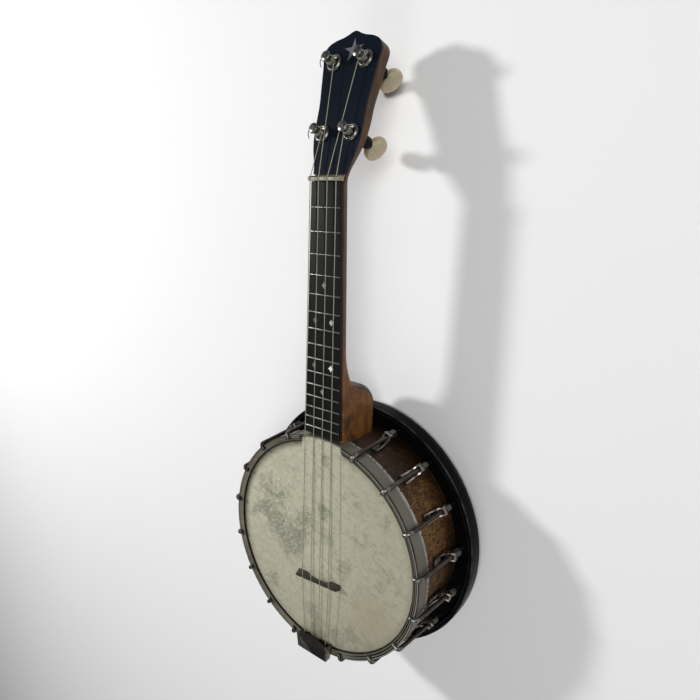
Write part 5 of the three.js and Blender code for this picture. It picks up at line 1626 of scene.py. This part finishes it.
def make_string_end(name, joint, sizes):
    """The cut end of a string, out of the hole in its post and beside the cap; it turns with the peg."""
    side = math.copysign(1, joint["pos_m"][0])
    points = [(side * x * MM, y * MM, z * MM) for x, y, z in STRING_END_PATH]
    return moved(swept(name, points, sizes.string_radius, 8, round_ends=True), peg_place(joint, sizes))


# Operators


class Builder:
    """What the operators share."""

    bl_options = {"REGISTER", "UNDO"}

    @property
    def pot(self):
        return bpy.context.scene.banjo_pot

    @property
    def neck(self):
        return bpy.context.scene.banjo_neck


def ring_nodes(prefix):
    """The frame's nodes of one kind, in order."""
    return sorted(name for name in frame["nodes"] if name.startswith(prefix))


class BANJO_OT_resonator(Builder, bpy.types.Operator):
    """Build the resonator"""

    bl_idname = "banjo.resonator"
    bl_label = "Resonator"

    def execute(self, context):
        settle(make_resonator(self.pot), "black_lacquer", replaces=["resonator"])
        return {"FINISHED"}


class BANJO_OT_rim(Builder, bpy.types.Operator):
    """Build the rim and finish the stick inside it"""

    bl_idname = "banjo.rim"
    bl_label = "Rim and stick"

    def execute(self, context):
        settle(make_rim(self.pot), "rim_walnut", replaces=["rim"])
        settle(refined("dowel_stick", "stick", 0.5 * MM), "raw_wood", replaces=["dowel_stick"])
        return {"FINISHED"}


class BANJO_OT_head(Builder, bpy.types.Operator):
    """Build the skin and its flesh hoop"""

    bl_idname = "banjo.head"
    bl_label = "Drumhead"

    def execute(self, context):
        settle(make_head(self.pot), "drum_skin", replaces=["drumhead"])
        settle(make_flesh_hoop(), "flesh_metal", replaces=["flesh_hoop"])
        settle(make_crimps())
        return {"FINISHED"}


class BANJO_OT_tension_hoop(Builder, bpy.types.Operator):
    """Build the notched tension hoop"""

    bl_idname = "banjo.tension_hoop"
    bl_label = "Tension hoop"

    def execute(self, context):
        settle(make_tension_hoop(self.pot), "hoop_metal", replaces=["tension_hoop"])
        return {"FINISHED"}


class BANJO_OT_hooks(Builder, bpy.types.Operator):
    """Build the hooks with their nuts, and the shoes"""

    bl_idname = "banjo.hooks"
    bl_label = "Hooks and shoes"

    def execute(self, context):
        settle(make_hooks(self.pot), replaces=ring_nodes("hook_"))
        settle(make_nuts(self.pot))
        settle(make_shoes(self.pot), replaces=ring_nodes("shoe_"))
        return {"FINISHED"}


class BANJO_OT_neck(Builder, bpy.types.Operator):
    """Build the neck with its heel and peghead"""

    bl_idname = "banjo.neck"
    bl_label = "Neck"

    def execute(self, context):
        settle(make_neck(self.neck), "neck_wood", replaces=["neck"])
        settle(make_veneer(self.neck), "peghead_veneer", replaces=["peghead_overlay"])
        settle(make_star(self.neck), material="pearl")
        return {"FINISHED"}


class BANJO_OT_fingerboard(Builder, bpy.types.Operator):
    """Build the fingerboard, frets, position marks and nut"""

    bl_idname = "banjo.fingerboard"
    bl_label = "Fingerboard"

    def execute(self, context):
        settle(make_board(), "fretboard_wood", replaces=["fingerboard"])
        settle(make_frets(self.neck))
        settle(make_inlays(self.neck), material="pearl")
        settle(refined("nut", "nut_piece", 0.25 * MM), "bone", replaces=["nut"])
        return {"FINISHED"}


class BANJO_OT_bridge(Builder, bpy.types.Operator):
    """Build the bridge and the tailpiece"""

    bl_idname = "banjo.bridge"
    bl_label = "Bridge and tailpiece"

    def execute(self, context):
        bridge = refined("bridge", "bridge_piece", 0.2 * MM)
        tail = refined("tailpiece", "tail_hood", 0.25 * MM, 3)
        settle(bridge, "bridge_maple", replaces=["bridge"])
        settle(tail, "tail_metal", replaces=["tailpiece"])
        return {"FINISHED"}


class BANJO_OT_pegs(Builder, bpy.types.Operator):
    """Build the pegs, each riding on its own body"""

    bl_idname = "banjo.pegs"
    bl_label = "Pegs"

    def execute(self, context):
        for joint in frame["joints"]:
            body = joint["child"]
            name = body.replace("peg_", "")
            place = peg_place(joint, self.neck)
            distance = (on_peghead(self.neck).inverted() @ Vector(joint["pos_m"])).y
            depth = peghead_depth(self.neck, distance)
            drop = depth + BUTTON_REACH
            top = -drop + BUTTON_HALF
            bushing = make_bushing("bushing_" + name, place, depth)
            settle(bushing, "peg_metal", replaces=["peg_bushing_" + name])
            post = make_post("post_" + name, place, depth, top - STEM_DEPTH, top + COLLAR_GAP)
            settle(post, "peg_metal", body, ["peg_post_" + name])
            button = make_button("button_" + name, place, drop, math.radians(PEG_TURNS[name]))
            settle(button, "pearloid", body, ["peg_button_" + name])
            if name.endswith("left"):
                end = make_string_end("string_end_" + name, joint, self.neck)
                settle(end, "string_end", body)
        return {"FINISHED"}


class BANJO_OT_strings(Builder, bpy.types.Operator):
    """Build the four strings"""

    bl_idname = "banjo.strings"
    bl_label = "Strings"

    def execute(self, context):
        for joint in frame["joints"]:
            name = joint["child"].replace("peg_", "")
            number = STRINGS[name] + 1
            route = string_route(joint, name, self.neck)
            string = swept("nylon_string_%d" % number, route, self.neck.string_radius, 10)
            settle(string, "nylon", replaces=["string_%d" % number])
        return {"FINISHED"}


# Stage

CAMERA_PLACE = Vector((0.29587, 0.29098, 0.41986))
CAMERA_TURN = tuple(math.radians(angle) for angle in (-13.596, 36.492, 2.5))
CAMERA_LENS = 29.504
CAMERA_SHIFT = (-0.0289, 0.02087)
# Name, place, size and power of each light, and the point that all face
LIGHTS = [("key_light", (-1.2, 0.53, 0.97), 0.16, 16), ("side_light", (0.85, 0.6, 1.45), 1.0, 15),
          ("soft_light", (0.2, -1.2, 1.5), 1.2, 6)]
LIT_POINT = Vector((0, 0.12, 0.05))
WORLD_STRENGTH = 0.09
FLOOR_REACH = 4


def area_light(name, place, size, power):
    """A round soft light that faces the instrument."""
    light = bpy.data.lights.new(name, "AREA")
    light.shape = "DISK"
    light.size = size
    light.energy = power
    lamp = bpy.data.objects.new(name, light)
    lamp.location = place
    lamp.rotation_euler = (LIT_POINT - Vector(place)).to_track_quat("-Z", "Y").to_euler()
    bpy.context.scene.collection.objects.link(lamp)
    return lamp


class BANJO_OT_stage(Builder, bpy.types.Operator):
    """Set the floor, lights and camera"""

    bl_idname = "banjo.stage"
    bl_label = "Stage"

    def execute(self, context):
        scene = context.scene
        corners = [(x * FLOOR_REACH, y * FLOOR_REACH, 0) for x, y in ((-1, -1), (1, -1), (1, 1), (-1, 1))]
        floor = mesh_object("floor", corners, [(0, 1, 2, 3)])
        floor.data.materials.append(floor_finish())
        camera = bpy.data.cameras.new("camera")
        camera.sensor_width = 36
        camera.lens = CAMERA_LENS
        camera.shift_x, camera.shift_y = CAMERA_SHIFT
        camera.clip_start = 0.01
        eye = bpy.data.objects.new("camera", camera)
        eye.location = CAMERA_PLACE
        eye.rotation_euler = CAMERA_TURN
        scene.collection.objects.link(eye)
        scene.camera = eye
        for light in LIGHTS:
            area_light(*light)
        world = bpy.data.worlds.new("world")
        world.use_nodes = True
        world.node_tree.nodes["Background"].inputs[0].default_value = (1, 1, 1, 1)
        world.node_tree.nodes["Background"].inputs[1].default_value = WORLD_STRENGTH
        scene.world = world
        scene.view_settings.view_transform = "Standard"
        return {"FINISHED"}


BUILD_ORDER = ("stage", "resonator", "rim", "head", "tension_hoop", "hooks", "neck", "fingerboard",
               "bridge", "pegs", "strings")


class BANJO_PT_panel(bpy.types.Panel):
    """Lists the steps that build the instrument"""

    bl_idname = "BANJO_PT_panel"
    bl_label = "Banjo Ukulele"
    bl_space_type = "VIEW_3D"
    bl_region_type = "UI"
    bl_category = "Banjo Ukulele"

    def draw(self, context):
        for step in BUILD_ORDER:
            self.layout.operator("banjo." + step)


CLASSES = (
    PotSizes, NeckSizes, Colours,
    BANJO_OT_stage, BANJO_OT_resonator, BANJO_OT_rim, BANJO_OT_head, BANJO_OT_tension_hoop, BANJO_OT_hooks,
    BANJO_OT_neck, BANJO_OT_fingerboard, BANJO_OT_bridge, BANJO_OT_pegs, BANJO_OT_strings, BANJO_PT_panel,
)


def register():
    for each in CLASSES:
        bpy.utils.register_class(each)
    bpy.types.Scene.banjo_pot = bpy.props.PointerProperty(type=PotSizes)
    bpy.types.Scene.banjo_neck = bpy.props.PointerProperty(type=NeckSizes)
    bpy.types.Scene.banjo_colours = bpy.props.PointerProperty(type=Colours)


def unregister():
    del bpy.types.Scene.banjo_colours
    del bpy.types.Scene.banjo_neck
    del bpy.types.Scene.banjo_pot
    for each in reversed(CLASSES):
        bpy.utils.unregister_class(each)


def main():
    register()
    for step in BUILD_ORDER:
        getattr(bpy.ops.banjo, step)()


if __name__ == "__main__":
    main()
